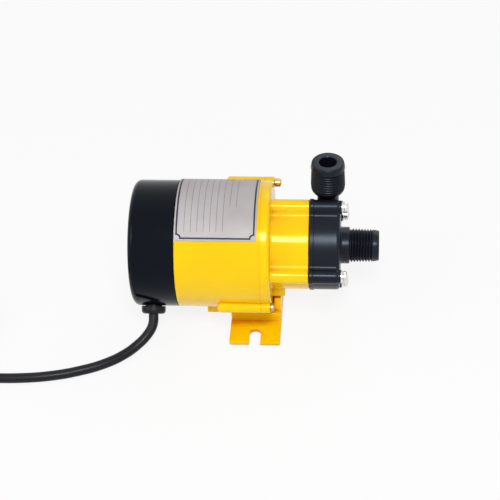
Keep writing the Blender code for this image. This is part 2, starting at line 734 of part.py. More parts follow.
def make_motor_inside(steel, copper, iron, aluminium, brass, plastic):
    """Fill the motor: stator, windings, rotor, shaft, bearings, end shield and fan."""
    stack_front = STACK_BACK_X + STACK_LENGTH
    bore = ROTOR_R + AIR_GAP
    stator_r = MOTOR_R - HOUSING_WALL - GAP
    stator = turned("stator_core", tube_profile(STACK_BACK_X, stack_front, bore, stator_r), iron,
                    LARGE)
    slots = []
    for index in range(SLOT_COUNT):
        slot = block("slot", (STACK_BACK_X - 1, -STATOR_SLOT_WIDTH / 2, bore - 2),
                     (stack_front + 1, STATOR_SLOT_WIDTH / 2, stator_r - STATOR_YOKE)).data
        slots.append((slot, Matrix.Rotation(math.tau * (index + 0.5) / SLOT_COUNT, 4, "X")))
    cut(stator, merged("stator_slots", slots))
    for name, start in (("front", stack_front + GAP),
                        ("rear", STACK_BACK_X - GAP - WINDING_OVERHANG)):
        end = start + WINDING_OVERHANG
        profile = [
            (start, WINDING_INNER_R + 2),
            (start, WINDING_OUTER_R - 2),
            (start + 2, WINDING_OUTER_R),
            (end - 2, WINDING_OUTER_R),
            (end, WINDING_OUTER_R - 2),
            (end, WINDING_INNER_R + 2),
            (end - 2, WINDING_INNER_R),
            (start + 2, WINDING_INNER_R),
        ]
        turned(f"stator_winding_{name}", profile, copper, MIDDLE)
    ring = END_RING_THICK
    inner = SHAFT_R + GAP
    turned("rotor_core", [
        (STACK_BACK_X, inner),
        (STACK_BACK_X, ROTOR_R / 2),
        (STACK_BACK_X - ring, ROTOR_R / 2),
        (STACK_BACK_X - ring, ROTOR_R - 1),
        (STACK_BACK_X, ROTOR_R),
        (stack_front, ROTOR_R),
        (stack_front + ring, ROTOR_R - 1),
        (stack_front + ring, ROTOR_R / 2),
        (stack_front, ROTOR_R / 2),
        (stack_front, inner),
    ], iron, MIDDLE)
    yoke_front = FLANGE_FRONT_X + 2 * GAP + YOKE_WEB
    turned("motor_shaft", rod_profile(SHAFT_BACK_X, yoke_front - GAP, SHAFT_R, 0.5), steel, SMALL,
           False)
    make_bearing("front", FRONT_BEARING_X, steel, brass)
    make_bearing("rear", REAR_BEARING_X, steel, brass)
    make_end_shield(aluminium)
    spring_x = REAR_BEARING_X - GAP
    turned("bearing_preload_washer",
           tube_profile(spring_x - 1, spring_x, BEARING_R - 2.4, BEARING_R - 0.2), steel, SMALL)
    make_fan(plastic)


def make_end_shield(material):
    """Cast rear shield: it closes the housing and holds the rear bearing and the screw posts."""
    front = REAR_BEARING_X + BEARING_WIDTH - GAP
    back = front - SHIELD_THICK
    shield = turned("rear_end_shield", rod_profile(back, front, MOTOR_R - HOUSING_WALL - GAP),
                    material, LARGE, False)
    seat_back = REAR_BEARING_X - 1 - 2 * GAP
    hub_back = seat_back - LIP_THICK
    join(shield, rod("shield_hub", hub_back, front - 0.2, BEARING_R + GAP + HUB_WALL,
                     segments=MIDDLE))
    post_back = COVER_BACK_X + COVER_BACK_WALL + GAP
    for side in (-1, 1):
        at = (0, side * COVER_SCREW_Y, AXIS_HEIGHT)
        join(shield, rod("shield_post", post_back, front - 0.4, POST_R, segments=HEAD,
                         location=at))
    cut(shield, rod("rear_bearing_seat", seat_back, front + 1, BEARING_R + GAP, segments=MIDDLE))
    cut(shield, rod("shield_shaft_hole", hub_back - 1, seat_back + 1, SHAFT_R + 1.5))
    hole_end = COVER_BACK_X + head_depth() + COVER_SCREW_LENGTH + 1
    for side in (-1, 1):
        cut(shield, rod("shield_screw_hole", post_back - 1, hole_end, COVER_SCREW_R + GAP,
                        segments=HOLE, location=(0, side * COVER_SCREW_Y, AXIS_HEIGHT)))


def make_fan(material):
    """Radial fan on the end of the motor shaft."""
    front = FAN_BACK_X + FAN_LENGTH
    fan = turned("cooling_fan", tube_profile(FAN_BACK_X, front, SHAFT_R + GAP, FAN_HUB_R),
                 material, SMALL)
    plate = turned("fan_plate", tube_profile(front - FAN_PLATE_THICK - 0.2, front - 0.2,
                                             FAN_HUB_R - 1, FAN_R), None, MIDDLE)
    join(fan, plate)
    blades = []
    for index in range(BLADE_COUNT):
        blade = block("blade", (FAN_BACK_X + 0.5, -BLADE_THICK / 2, FAN_HUB_R - 1),
                      (front - 0.6, BLADE_THICK / 2, FAN_R - 0.6)).data
        blades.append((blade, Matrix.Rotation(math.tau * index / BLADE_COUNT, 4, "X")))
    join(fan, merged("fan_blades", blades))


def make_coupling(steel, magnet, plastic):
    """Drive side of the coupling: the cup on the motor shaft and its magnet ring."""
    back = FLANGE_FRONT_X + 2 * GAP
    web_front = back + YOKE_WEB
    magnet_inner = CAN_R + COUPLING_GAP
    magnet_outer = magnet_inner + DRIVE_MAGNET_THICK
    wall_inner = magnet_outer + GAP
    magnet_back = web_front + GAP
    front = magnet_back + DRIVE_MAGNET_LENGTH
    yoke = turned("drive_magnet_cup", [
        (back, SHAFT_R + GAP),
        (back, wall_inner + YOKE_WALL),
        (front + GAP, wall_inner + YOKE_WALL),
        (front + GAP, wall_inner),
        (web_front, wall_inner),
        (web_front, SHAFT_R + GAP),
    ], steel, MIDDLE)
    middle = back + YOKE_WEB / 2
    at = (middle, 0, AXIS_HEIGHT)
    cut(yoke, rod("set_screw_hole", SHAFT_R, wall_inner + YOKE_WALL + 1, SET_SCREW_R + GAP,
                  segments=HOLE, location=at, direction=(0, 0, 1)))
    rod("cup_set_screw", SHAFT_R + GAP, SHAFT_R + GAP + SET_SCREW_LENGTH, SET_SCREW_R, steel, HOLE,
        at, (0, 0, 1))
    turned("drive_magnet", tube_profile(magnet_back, front, magnet_inner, magnet_outer), magnet,
           MIDDLE)
    flange_back = BRACKET_FRONT_X + GAP
    inner = CAN_R - CAN_WALL
    inside = CAN_BACK_X + CAN_WALL
    turned("containment_can", [
        (CAN_BACK_X, 0),
        (CAN_BACK_X, CAN_R - 1),
        (CAN_BACK_X + 1, CAN_R),
        (flange_back, CAN_R),
        (flange_back, CAN_FLANGE_R),
        (flange_back + CAN_FLANGE_THICK, CAN_FLANGE_R),
        (flange_back + CAN_FLANGE_THICK, inner),
        (inside, inner),
        (inside, SPINDLE_BOSS_R),
        (inside + SPINDLE_BOSS_LENGTH, SPINDLE_BOSS_R),
        (inside + SPINDLE_BOSS_LENGTH, SPINDLE_R + GAP),
        (inside + 0.2, SPINDLE_R + GAP),
        (inside + 0.2, 0),
    ], plastic, MIDDLE, False)


def make_impeller(plastic, magnet, carbon):
    """Impeller with its sleeve and magnet jacket, the sealed-in magnet and the bush."""
    bore = SPINDLE_R + GAP
    sleeve_in = bore + BUSH_WALL + GAP
    sleeve_out = sleeve_in + SLEEVE_WALL
    jacket_out = CAN_R - CAN_WALL - RUNNING_GAP
    jacket_in = jacket_out - JACKET_WALL
    pocket_end = SLEEVE_BACK_X + MAGNET_CAP_THICK + DRIVEN_MAGNET_LENGTH + 3 * GAP
    impeller = turned("impeller", [
        (SLEEVE_BACK_X, sleeve_in),
        (SLEEVE_BACK_X, sleeve_out),
        (pocket_end, sleeve_out),
        (pocket_end, jacket_in),
        (SLEEVE_BACK_X, jacket_in),
        (SLEEVE_BACK_X, jacket_out),
        (SHROUD_BACK_X, jacket_out),
        (SHROUD_BACK_X, IMPELLER_R),
        (SHROUD_FRONT_X, IMPELLER_R),
        (SHROUD_FRONT_X, sleeve_out),
        (SLEEVE_FRONT_X, sleeve_out),
        (SLEEVE_FRONT_X, sleeve_in),
    ], plastic, MIDDLE)
    vanes = []
    inner_r = sleeve_out + 1.6
    for index in range(VANE_COUNT):
        turn = 360 * index / VANE_COUNT
        near, far = [], []
        for step in range(6):
            share = step / 5
            radius = inner_r + (IMPELLER_R - 0.3 - inner_r) * share
            angle = turn + VANE_SWEEP * share
            half = math.degrees(VANE_THICK / 2 / radius)
            near.append(around(angle - half, radius))
            far.append(around(angle + half, radius))
        vane = prism("vane", near + far[::-1], SHROUD_FRONT_X - 0.5,
                     SHROUD_FRONT_X + VANE_HEIGHT + 0.5).data
        vanes.append((vane, Matrix()))
    join(impeller, merged("impeller_vanes", vanes))
    start = SHROUD_FRONT_X + VANE_HEIGHT
    join(impeller, turned("impeller_front_shroud",
                          tube_profile(start, start + SHROUD_THICK, EYE_R, IMPELLER_R - 0.1),
                          None, MIDDLE))
    cap_start = SLEEVE_BACK_X + 0.2
    cap_end = cap_start + MAGNET_CAP_THICK
    turned("magnet_cap", tube_profile(cap_start, cap_end, sleeve_out + GAP, jacket_in - GAP),
           plastic, MIDDLE)
    turned("driven_magnet", tube_profile(cap_end + GAP, cap_end + GAP + DRIVEN_MAGNET_LENGTH,
                                         sleeve_out + GAP, jacket_in - GAP), magnet, MIDDLE)
    turned("impeller_bush", tube_profile(SLEEVE_BACK_X + 0.2, SLEEVE_FRONT_X - 0.2, bore,
                                         bore + BUSH_WALL), carbon, SMALL)


def make_spindle(ceramic):
    """Fixed ceramic spindle and the thrust rings at both ends of the impeller."""
    turned("spindle", rod_profile(SPINDLE_BACK_X, SPINDLE_FRONT_X, SPINDLE_R, 0.4), ceramic, SMALL,
           False)
    for name, start in (("rear", REAR_THRUST_X), ("front", FRONT_THRUST_X)):
        turned(f"thrust_ring_{name}",
               tube_profile(start, start + THRUST_THICK, SPINDLE_R + GAP, THRUST_R), ceramic, SMALL)


def make_front_casing(material):
    """Moulded front casing: lobed volute, threaded inlet and outlet, and the spindle spider."""
    back = BRACKET_FRONT_X + GAP
    casing = prism("front_casing", lobed_outline(), back + RIM_THICK - 0.6, CASING_FACE_X,
                   material)
    join(casing, prism("casing_rim", lobed_outline(RIM_STEP), back, back + RIM_THICK))
    for angle in lobe_angles():
        join(casing, rod("casing_boss", CASING_FACE_X - 2, BOSS_FRONT_X, BOSS_R, segments=HEAD,
                         location=at_angle(angle, LOBE_CIRCLE_R)))
    neck_end = CASING_FACE_X + INLET_NECK_LENGTH
    inlet = [(CASING_FACE_X - 2, 0), (CASING_FACE_X - 2, INLET_NECK_R + 1)]
    inlet += [(CASING_FACE_X + 0.9, INLET_NECK_R + 0.5), (CASING_FACE_X + 1.4, INLET_NECK_R)]
    inlet += [(neck_end - 0.4, INLET_NECK_R), (neck_end, INLET_NECK_R - 0.5)]
    inlet += thread(neck_end + 0.2)
    inlet_end = neck_end + 0.2 + THREAD_PITCH * THREAD_TURNS + PORT_END_LENGTH
    inlet += [(inlet_end - 0.7, PORT_END_R), (inlet_end, PORT_END_R - 0.7), (inlet_end, 0)]
    join(casing, turned("inlet_port", inlet, None, MIDDLE, False))
    shoulder = arc((0, 0), OUTLET_SHOULDER_HEIGHT, -math.pi / 2, 0, 4)
    spread = (THREAD_CREST_R - OUTLET_NECK_R - 0.3) / OUTLET_SHOULDER_HEIGHT
    top = OUTLET_SHOULDER_Z + OUTLET_SHOULDER_HEIGHT
    outlet = [(CASING_R / 3, 0), (CASING_R / 3, OUTLET_NECK_R)]
    outlet += [(top + z, OUTLET_NECK_R + y * spread) for y, z in shoulder]
    outlet += thread(top + 0.3)
    outlet_end = top + 0.3 + THREAD_PITCH * THREAD_TURNS + PORT_END_LENGTH
    outlet += [(outlet_end - 0.7, PORT_END_R), (outlet_end, PORT_END_R - 0.7), (outlet_end, 0)]
    at = (OUTLET_X, OUTLET_Y, AXIS_HEIGHT)
    up = (0, 0, 1)
    join(casing, turned("outlet_port", outlet, None, MIDDLE, False, at, up))
    cut(casing, rod("casing_recess", back - 1, CHAMBER_BACK_X, CAN_FLANGE_R + GAP,
                    segments=MIDDLE))
    groove = O_RING_R * 2 + 2 * GAP
    cut(casing, turned("o_ring_groove", tube_profile(CHAMBER_BACK_X - 1, CHAMBER_BACK_X + groove,
                                                     CAN_FLANGE_R - groove, CAN_FLANGE_R), None,
                       MIDDLE))
    cut(casing, rod("pump_chamber", back - 1, CHAMBER_BACK_X + CHAMBER_DEPTH, CHAMBER_R,
                    segments=MIDDLE))
    cut(casing, turned("inlet_bore", [
        (CHAMBER_BACK_X + 2, 0),
        (CHAMBER_BACK_X + 2, THROAT_R),
        (SPIDER_FRONT_X + 1.5, THROAT_R),
        (SPIDER_FRONT_X + 5, PORT_BORE_R),
        (inlet_end + 1, PORT_BORE_R),
        (inlet_end + 1, 0),
    ], None, MIDDLE, False))
    cut(casing, rod("outlet_bore", 4, outlet_end + 1, OUTLET_NECK_BORE_R, None, SMALL, at, up))
    cut(casing, rod("outlet_mouth", outlet_end - OUTLET_MOUTH_DEPTH, outlet_end + 2,
                    PORT_BORE_R, None, MIDDLE, at, up))
    for angle in lobe_angles():
        cut(casing, rod("casing_screw_hole", back - 1, BOSS_FRONT_X + 1, HEAD_SHANK_R + GAP,
                        segments=HOLE, location=at_angle(angle, LOBE_CIRCLE_R)))
    for index in range(SPIDER_COUNT):
        rib = block("spider_rib", (SPIDER_BACK_X + 0.6, -SPIDER_RIB / 2, SPINDLE_R + 1),
                    (SPIDER_FRONT_X - 0.4, SPIDER_RIB / 2, THROAT_R + 0.7))
        rib.rotation_quaternion = Matrix.Rotation(
            math.tau * index / SPIDER_COUNT, 3, "X").to_quaternion()
        join(casing, rib)
    join(casing, turned("spider_hub", [
        (SPINDLE_FRONT_X + GAP, 0),
        (SPINDLE_FRONT_X + GAP, SPINDLE_R + GAP),
        (SPIDER_BACK_X, SPINDLE_R + GAP),
        (SPIDER_BACK_X, SPIDER_HUB_R),
        (SPIDER_FRONT_X, SPIDER_HUB_R),
        (SPIDER_FRONT_X + 1.2, 0),
    ], None, SMALL, False))
    return casing


def make_o_ring(material):
    middle = CHAMBER_BACK_X + O_RING_R + GAP
    centre_r = CAN_FLANGE_R - O_RING_R - GAP
    section = [
        (middle + O_RING_R * math.cos(turn), centre_r + O_RING_R * math.sin(turn))
        for turn in (math.tau * index / 6 for index in range(6))
    ]
    turned("casing_o_ring", section, material, MIDDLE)


def make_head_screws(steel):
    for angle, name in zip(lobe_angles(), ("top", "near", "bottom", "far")):
        at = at_angle(angle, LOBE_CIRCLE_R)
        turned(f"head_washer_{name}",
               tube_profile(WASHER_SEAT_X, WASHER_SEAT_X + WASHER_THICK, HEAD_SHANK_R + GAP,
                            WASHER_R), steel, WASHER_SIDES, location=at)
        seat = at_angle(angle, LOBE_CIRCLE_R, WASHER_SEAT_X + WASHER_THICK + GAP)
        screw(f"head_screw_{name}", steel, seat, (-1, 0, 0), HEAD_R, HEAD_HEIGHT, HEAD_SHANK_R,
              HEAD_SCREW_LENGTH)


def make_strain_relief(material):
    """Snap-in bush that grips the cord where it leaves the rear cover."""
    flange = MOTOR_R + GAP
    top = flange + GLAND_FLANGE_THICK
    turned("strain_relief", [
        (flange - GLAND_NECK_LENGTH, 0),
        (flange - GLAND_NECK_LENGTH, GLAND_NECK_R - 1),
        (flange - GLAND_NECK_LENGTH + 1, GLAND_NECK_R),
        (flange, GLAND_NECK_R),
        (flange, GLAND_FLANGE_R),
        (top - 1.6, GLAND_FLANGE_R - 0.2),
        (top, GLAND_FLANGE_R - 1.8),
        (top, CORD_R + GAP),
        (top - CORD_SOCKET_DEPTH, CORD_R + GAP),
        (top - CORD_SOCKET_DEPTH, 0),
    ], material, SMALL, False, (GLAND_X, 0, AXIS_HEIGHT), gland_direction())


def make_cord(material):
    """Cord from the strain relief to its coil, the coil as one ring, and the tail to the plug."""
    start_r = MOTOR_R + GAP + GLAND_FLANGE_THICK - CORD_SOCKET_DEPTH + GAP
    half_span = COIL_PITCH * COIL_TURNS_PER_LAYER / 2
    outer_turn = COIL_MEAN_R + half_span
    coil_r = outer_turn + CORD_R + 0.2
    touch = math.sqrt((coil_r + GAP) ** 2 - (outer_turn - CORD_R) ** 2)
    entry_y = COIL_CENTRE[1] - outer_turn
    entry = (COIL_CENTRE[0] + touch, entry_y, CORD_R)
    route = [at_angle(GLAND_ANGLE, start_r, GLAND_X), *CORD_ROUTE, entry]
    cord_tube("power_cord", smooth_route(route, CORD_STEPS), material)
    height = CORD_R * 2 + COIL_PITCH * (COIL_LAYERS - 1)
    inner_r = COIL_MEAN_R - half_span - CORD_R - 0.2
    turned("cord_coil", [
        (0, inner_r + CORD_R / 2),
        (0, coil_r - CORD_R / 2),
        (CORD_R / 2, coil_r),
        (height - CORD_R / 2, coil_r),
        (height, coil_r - CORD_R / 2),
        (height, inner_r + CORD_R / 2),
        (height - CORD_R / 2, inner_r),
        (CORD_R / 2, inner_r),
    ], material, MIDDLE, True, (*COIL_CENTRE, 0), (0, 0, 1))
    tail_x = COIL_CENTRE[0] - outer_turn
    top_z = CORD_R + COIL_PITCH * (COIL_LAYERS - 1)
    plug_z = PLUG_BODY_THICK / 2
    share = touch / TAIL_LENGTH
    tail_start = (tail_x, COIL_CENTRE[1] + touch, top_z + (plug_z - top_z) * share)
    tail_end = (tail_x, COIL_CENTRE[1] + TAIL_LENGTH - GAP, plug_z)
    cord_tube("cord_tail", smooth_route([tail_start, tail_end], TAIL_STEPS), material)
    return tail_x, COIL_CENTRE[1] + TAIL_LENGTH, plug_z


def make_plug(at, material):
    """Moulded two-pin mains plug, pointing along Y."""
    along = (0, 1, 0)
    plug = turned("mains_plug", rod_profile(0, PLUG_SLEEVE_LENGTH + 2, CORD_R + 2, 0.8), material,
                  SMALL, False, at, along)
    half_w = PLUG_BODY_WIDTH / 2
    half_t = PLUG_BODY_THICK / 2
    bevel = 3.0
    outline = [
        (half_w - bevel, -half_t), (half_w, -half_t + bevel), (half_w, half_t - bevel),
        (half_w - bevel, half_t), (bevel - half_w, half_t), (-half_w, half_t - bevel),
        (-half_w, bevel - half_t), (bevel - half_w, -half_t),
    ]
    end = PLUG_SLEEVE_LENGTH + PLUG_BODY_LENGTH
    join(plug, prism("plug_body", outline, PLUG_SLEEVE_LENGTH, end, None, at, along))
    for side in (-1, 1):
        pin = (at[0] + side * PLUG_PIN_SPACING / 2, at[1], at[2])
        join(plug, rod("plug_pin", end - 2, end + PLUG_PIN_LENGTH, PLUG_PIN_R, None, HOLE, pin,
                       along))


def build():
    for old in list(bpy.data.objects):
        bpy.data.objects.remove(old)
    yellow = new_material("yellow_enamel", (0.95, 0.62, 0.004), 0.25)
    black = new_material("black_moulding", (0.012, 0.012, 0.015), 0.3)
    rubber = new_material("black_rubber", (0.02, 0.02, 0.022), 0.6)
    steel = new_material("bright_steel", (0.6, 0.6, 0.6), 0.3, 1.0)
    iron = new_material("lamination_iron", (0.25, 0.25, 0.27), 0.5, 1.0)
    aluminium = new_material("cast_aluminium", (0.7, 0.7, 0.72), 0.45, 1.0)
    brass = new_material("yellow_brass", (0.75, 0.5, 0.15), 0.3, 1.0)
    copper = new_material("varnished_copper", (0.55, 0.2, 0.07), 0.35, 1.0)
    magnet = new_material("ferrite_magnet", (0.05, 0.05, 0.055), 0.6)
    ceramic = new_material("white_ceramic", (0.85, 0.84, 0.8), 0.2)
    carbon = new_material("carbon_bush", (0.03, 0.03, 0.03), 0.5)
    plate = new_material("label_silver", (0.58, 0.57, 0.62), 0.4, 0.6)
    make_rear_cover(black)
    make_cover_screws(steel)
    make_housing(yellow)
    make_label(plate)
    make_bracket(yellow)
    make_foot(yellow)
    make_foot_screws(steel)
    make_bolts(brass)
    make_motor_inside(steel, copper, iron, aluminium, brass, black)
    make_coupling(steel, magnet, black)
    make_impeller(black, magnet, carbon)
    make_spindle(ceramic)
    make_front_casing(black)
    make_o_ring(rubber)
    make_head_screws(steel)
    make_strain_relief(rubber)
    plug_at = make_cord(rubber)
    make_plug(plug_at, rubber)


build()
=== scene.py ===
# %% [markdown]
# # A small magnetic drive pump
# A mains motor in a yellow casting turns a ring of magnets. A second ring of magnets behind a sealed
# plastic can follows it and drives the impeller, so no shaft passes through the wet end.
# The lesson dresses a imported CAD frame. We load it first, and every piece that we make takes
# its place and size from that frame, so nothing has to be fitted afterwards.

# %% Load the frame
import math

import bmesh
import bpy
from mathutils import Matrix, Vector


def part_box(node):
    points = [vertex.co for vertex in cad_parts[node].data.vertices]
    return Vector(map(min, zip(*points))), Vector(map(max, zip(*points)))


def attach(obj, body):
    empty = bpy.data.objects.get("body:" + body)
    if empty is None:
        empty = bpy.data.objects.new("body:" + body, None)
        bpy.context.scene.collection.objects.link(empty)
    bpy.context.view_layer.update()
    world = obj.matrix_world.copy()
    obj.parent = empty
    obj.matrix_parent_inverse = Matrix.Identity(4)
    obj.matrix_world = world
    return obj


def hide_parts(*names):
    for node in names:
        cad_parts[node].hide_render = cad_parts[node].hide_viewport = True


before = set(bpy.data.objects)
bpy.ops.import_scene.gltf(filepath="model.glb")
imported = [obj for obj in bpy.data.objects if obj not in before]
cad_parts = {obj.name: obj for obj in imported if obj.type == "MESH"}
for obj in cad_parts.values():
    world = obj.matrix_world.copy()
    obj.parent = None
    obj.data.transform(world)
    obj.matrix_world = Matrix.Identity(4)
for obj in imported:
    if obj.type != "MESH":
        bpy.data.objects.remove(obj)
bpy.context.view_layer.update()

MM = 0.001
print("CAD nodes:", len(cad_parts))

# %% [markdown]
# ## Camera
# The picture looks down on the pump from about 40 degrees and a little from the inlet's end.
# A long lens from almost a metre away keeps the cylinder's edges nearly parallel, as a product
# photograph does. The camera is set by two angles, a distance, a small roll and the point that it
# looks at, because each of those can be corrected alone against the picture.

# %% Camera
AIM = Vector((-0.0024, 0.0, 0.0465))
AZIMUTH = math.radians(5.7)
ELEVATION = math.radians(40.1)
CAMERA_DISTANCE = 0.945
CAMERA_LENS = 107.7
CAMERA_ROLL = math.radians(-2.9)

towards_camera = Vector((
    math.sin(AZIMUTH) * math.cos(ELEVATION),
    -math.cos(AZIMUTH) * math.cos(ELEVATION),
    math.sin(ELEVATION),
))
camera_data = bpy.data.cameras.new("camera")
camera_data.lens = CAMERA_LENS
camera_data.sensor_width = 36.0
camera_data.clip_start = 0.01
camera = bpy.data.objects.new("camera", camera_data)
camera.location = AIM + towards_camera * CAMERA_DISTANCE
camera.rotation_mode = "QUATERNION"
level = towards_camera.to_track_quat("Z", "Y")
camera.rotation_quaternion = level @ Matrix.Rotation(CAMERA_ROLL, 4, "Z").to_quaternion()
bpy.context.scene.collection.objects.link(camera)
bpy.context.scene.camera = camera
print("camera at", [round(value, 3) for value in camera.location])

# %% [markdown]
# ## The mains lead's route
# A lead is a fixed length of something springy that rests on the table. It leaves the rear cover
# pointing down and forward, drops to the table within two finger widths and runs off to the left.
# The length that the picture doesn't show is wound in a flat coil of two layers, as for storage.
# A bevelled curve is the natural tool: its own line is the centreline, so its length is exact.
# The chosen points are the same as in the CAD source, and a formula gives the coil.

# %% Route of the lead
LEAD_R = 3.1
LEAD_ROUTE = (
    (-62.9, -35.6, 13.4),
    (-66.6, -40.4, 8.7),
    (-72.0, -45.4, 5.4),
    (-79.6, -52.2, 3.5),
    (-91.0, -60.4, 3.1),
    (-106.0, -67.2, 3.1),
    (-123.0, -72.0, 3.1),
    (-142.0, -74.5, 3.1),
    (-163.0, -75.0, 3.1),
)
COIL_CENTRE = (-213.7, -30.6)
COIL_MEAN_R = 33.0
COIL_PITCH = 6.3
TURNS_PER_LAYER = 3.625
POINTS_PER_TURN = 24
STEP_UP_ANGLE = 120.0
TAIL_LENGTH = 45.0
TAIL_Z = 7.0


def coil_points():
    """Wind the lower layer inwards, climb, and wind the upper layer outwards."""
    half_span = COIL_PITCH * TURNS_PER_LAYER / 2
    sweep = 360 * TURNS_PER_LAYER
    count = round(POINTS_PER_TURN * TURNS_PER_LAYER * 2)
    points = []
    for step in range(count + 1):
        turned_by = 2 * sweep * step / count
        radius = COIL_MEAN_R - half_span + abs(turned_by - sweep) / 360 * COIL_PITCH
        climb = min(max((turned_by - sweep) / STEP_UP_ANGLE / 2 + 0.5, 0), 1)
        height = LEAD_R + COIL_PITCH * climb**2 * (3 - 2 * climb)
        angle = math.radians(-90 - turned_by)
        points.append((COIL_CENTRE[0] + radius * math.cos(angle),
                       COIL_CENTRE[1] + radius * math.sin(angle), height))
    return points


coil_low, coil_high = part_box("cord_coil")
print("the coil is", round((coil_high.x - coil_low.x) / MM, 1), "mm wide")

# %% [markdown]
# ## Shader helpers
# Every finish here is a small node tree on top of one Principled shader. Writing each node by hand
# takes five lines, so one helper adds a node, sets its inputs and links any input that is given
# as a socket. Textures read object coordinates: each mesh keeps its true place in metres, so a
# noise of scale 1000 has grains about a millimetre wide on every piece.

# %% Shader helpers
def node(tree, kind, inputs=None, **settings):
    """Add a shader node, and link or set each of its inputs."""
    made = tree.nodes.new("ShaderNode" + kind)
    for key, value in settings.items():
        setattr(made, key, value)
    for key, value in (inputs or {}).items():
        if isinstance(value, bpy.types.NodeSocket):
            tree.links.new(value, made.inputs[key])
        else:
            made.inputs[key].default_value = value
    return made


def new_finish(name, roughness, metallic=0.0, **constants):
    """Make a material and set the shader's own sockets that stay the same all over."""
    material = bpy.data.materials.new(name)
    material.use_nodes = True
    tree = material.node_tree
    shader = tree.nodes["Principled BSDF"]
    shader.inputs["Roughness"].default_value = roughness
    shader.inputs["Metallic"].default_value = metallic
    for key, value in constants.items():
        shader.inputs[key.replace("_", " ")].default_value = value
    place = node(tree, "TexCoord").outputs["Object"]
    return material, tree, shader, place


def noise(tree, place, scale, detail=2.0, stretch=None):
    """Read a soft noise from 0 to 1, drawn out along an axis if a stretch is given."""
    if stretch:
        place = node(tree, "Mapping", {"Vector": place, "Scale": stretch}).outputs[0]
    return node(tree, "TexNoise", {"Vector": place, "Scale": scale, "Detail": detail}).outputs["Fac"]


def spread(tree, value, low, high, out_low, out_high):
    """Stretch a value's middle range over another range, and stop at its ends."""
    return node(tree, "MapRange", {"Value": value, "From Min": low, "From Max": high,
                                   "To Min": out_low, "To Max": out_high}).outputs["Result"]


def mix(tree, share, first, second):
    """Mix two colours, each a socket or three numbers."""
    first, second = [(*c, 1.0) if isinstance(c, tuple) else c for c in (first, second)]
    made = node(tree, "Mix", data_type="RGBA")
    for index, value in ((0, share), (6, first), (7, second)):
        if isinstance(value, bpy.types.NodeSocket):
            tree.links.new(value, made.inputs[index])
        else:
            made.inputs[index].default_value = value
    return made.outputs[2]


def relief(tree, height, depth, normal=None):
    """Raise the surface by a height from 0 to 1 times a depth in metres."""
    inputs = {"Height": height, "Distance": depth, "Strength": 1.0}
    if normal:
        inputs["Normal"] = normal
    return node(tree, "Bump", inputs).outputs["Normal"]


def soft_edges(tree, radius):
    """Round the shading across sharp edges, as a casting's or a moulding's own small radius does."""
    return node(tree, "Bevel", {"Radius": radius}, samples=6).outputs["Normal"]


def link(tree, shader, colour=None, roughness=None, normal=None):
    """Join the textures to the shader."""
    for key, value in (("Base Color", colour), ("Roughness", roughness), ("Normal", normal)):
        if value is not None:
            tree.links.new(value, shader.inputs[key])


# %% [markdown]
# ## Yellow enamel
# The motor body, the bracket and the foot are die castings under one thick coat of gloss enamel.
# The paint flows before it sets, which leaves the faint waviness that painters call orange peel
# and rounds every edge. So the shader gets a low wide bump, a finer one for dust under the paint,
# and a clear coat on top. The coat thins on edges, where a little more orange shows. In tight
# corners, where light bouncing between yellow faces turns deep orange, a painted deep-orange shade
# is mixed in wherever the occlusion node finds a hollow.

# %% Yellow enamel
ENAMEL = (0.96, 0.63, 0.001)
ENAMEL_DEEP = (0.89, 0.5, 0.001)
ENAMEL_PAINTED_SHADE = (0.72, 0.16, 0.0)


def make_enamel():
    material, tree, shader, place = new_finish("yellow_enamel", 0.2, Coat_Weight=0.22, Coat_Roughness=0.06,
                                                 Specular_Tint=(1.0, 0.78, 0.1, 1.0))
    drift = spread(tree, noise(tree, place, 28.0, 3.0), 0.35, 0.7, 0.0, 0.35)
    edge = spread(tree, node(tree, "NewGeometry").outputs["Pointiness"], 0.52, 0.6, 0.0, 0.5)
    colour = mix(tree, edge, mix(tree, drift, ENAMEL, ENAMEL_DEEP), ENAMEL_DEEP)
    # Painted shade: where ambient occlusion finds a hollow, the colour turns deep orange.
    painted_shade_ao = node(tree, "AmbientOcclusion", {"Distance": 0.02}, samples=8).outputs["AO"]
    colour = mix(tree, spread(tree, painted_shade_ao, 0.36, 0.54, 1.0, 0.0), colour, ENAMEL_PAINTED_SHADE)
    peel = relief(tree, noise(tree, place, 420.0, 1.0), 0.000035, soft_edges(tree, 0.0005))
    dust = relief(tree, noise(tree, place, 2600.0, 2.0), 0.000006, peel)
    link(tree, shader, colour, spread(tree, noise(tree, place, 160.0, 4.0), 0.3, 0.7, 0.15, 0.28), dust)
    return material


enamel = make_enamel()

# %% [markdown]
# ## Black mouldings
# The rear cover is a glossy moulding and shows its surroundings almost like a mirror. The wet end is
# a glass filled plastic, which comes out of the mould duller, with a fine grain and faint flow
# marks. One recipe makes both, with its own gloss, grain and scuffs.

# %% Black mouldings
def make_black(name, colour, low, high, grain_depth, scuff, shine=0.5):
    """Make a moulded black finish with a roughness range, a grain and light scuffs."""
    material, tree, shader, place = new_finish(name, low, Specular_IOR_Level=shine,
                                                 Specular_Tint=(0.7, 0.85, 1.0, 1.0))
    flow = noise(tree, place, 60.0, 4.0, (0.4, 1.0, 1.0))
    lighter = tuple(channel * 1.9 + 0.004 for channel in colour)
    streaks = spread(tree, noise(tree, place, 240.0, 6.0, (0.15, 1.0, 1.0)), 0.62, 0.8, 0.0, scuff)
    edge = spread(tree, node(tree, "NewGeometry").outputs["Pointiness"], 0.53, 0.62, 0.0, 0.5)
    colour = mix(tree, edge, mix(tree, streaks, colour, lighter), lighter)
    wave = relief(tree, flow, 0.00003, soft_edges(tree, 0.0004))
    grain = relief(tree, noise(tree, place, 2400.0, 2.0), grain_depth, wave)
    link(tree, shader, colour, spread(tree, flow, 0.3, 0.7, low, high), grain)
    return material


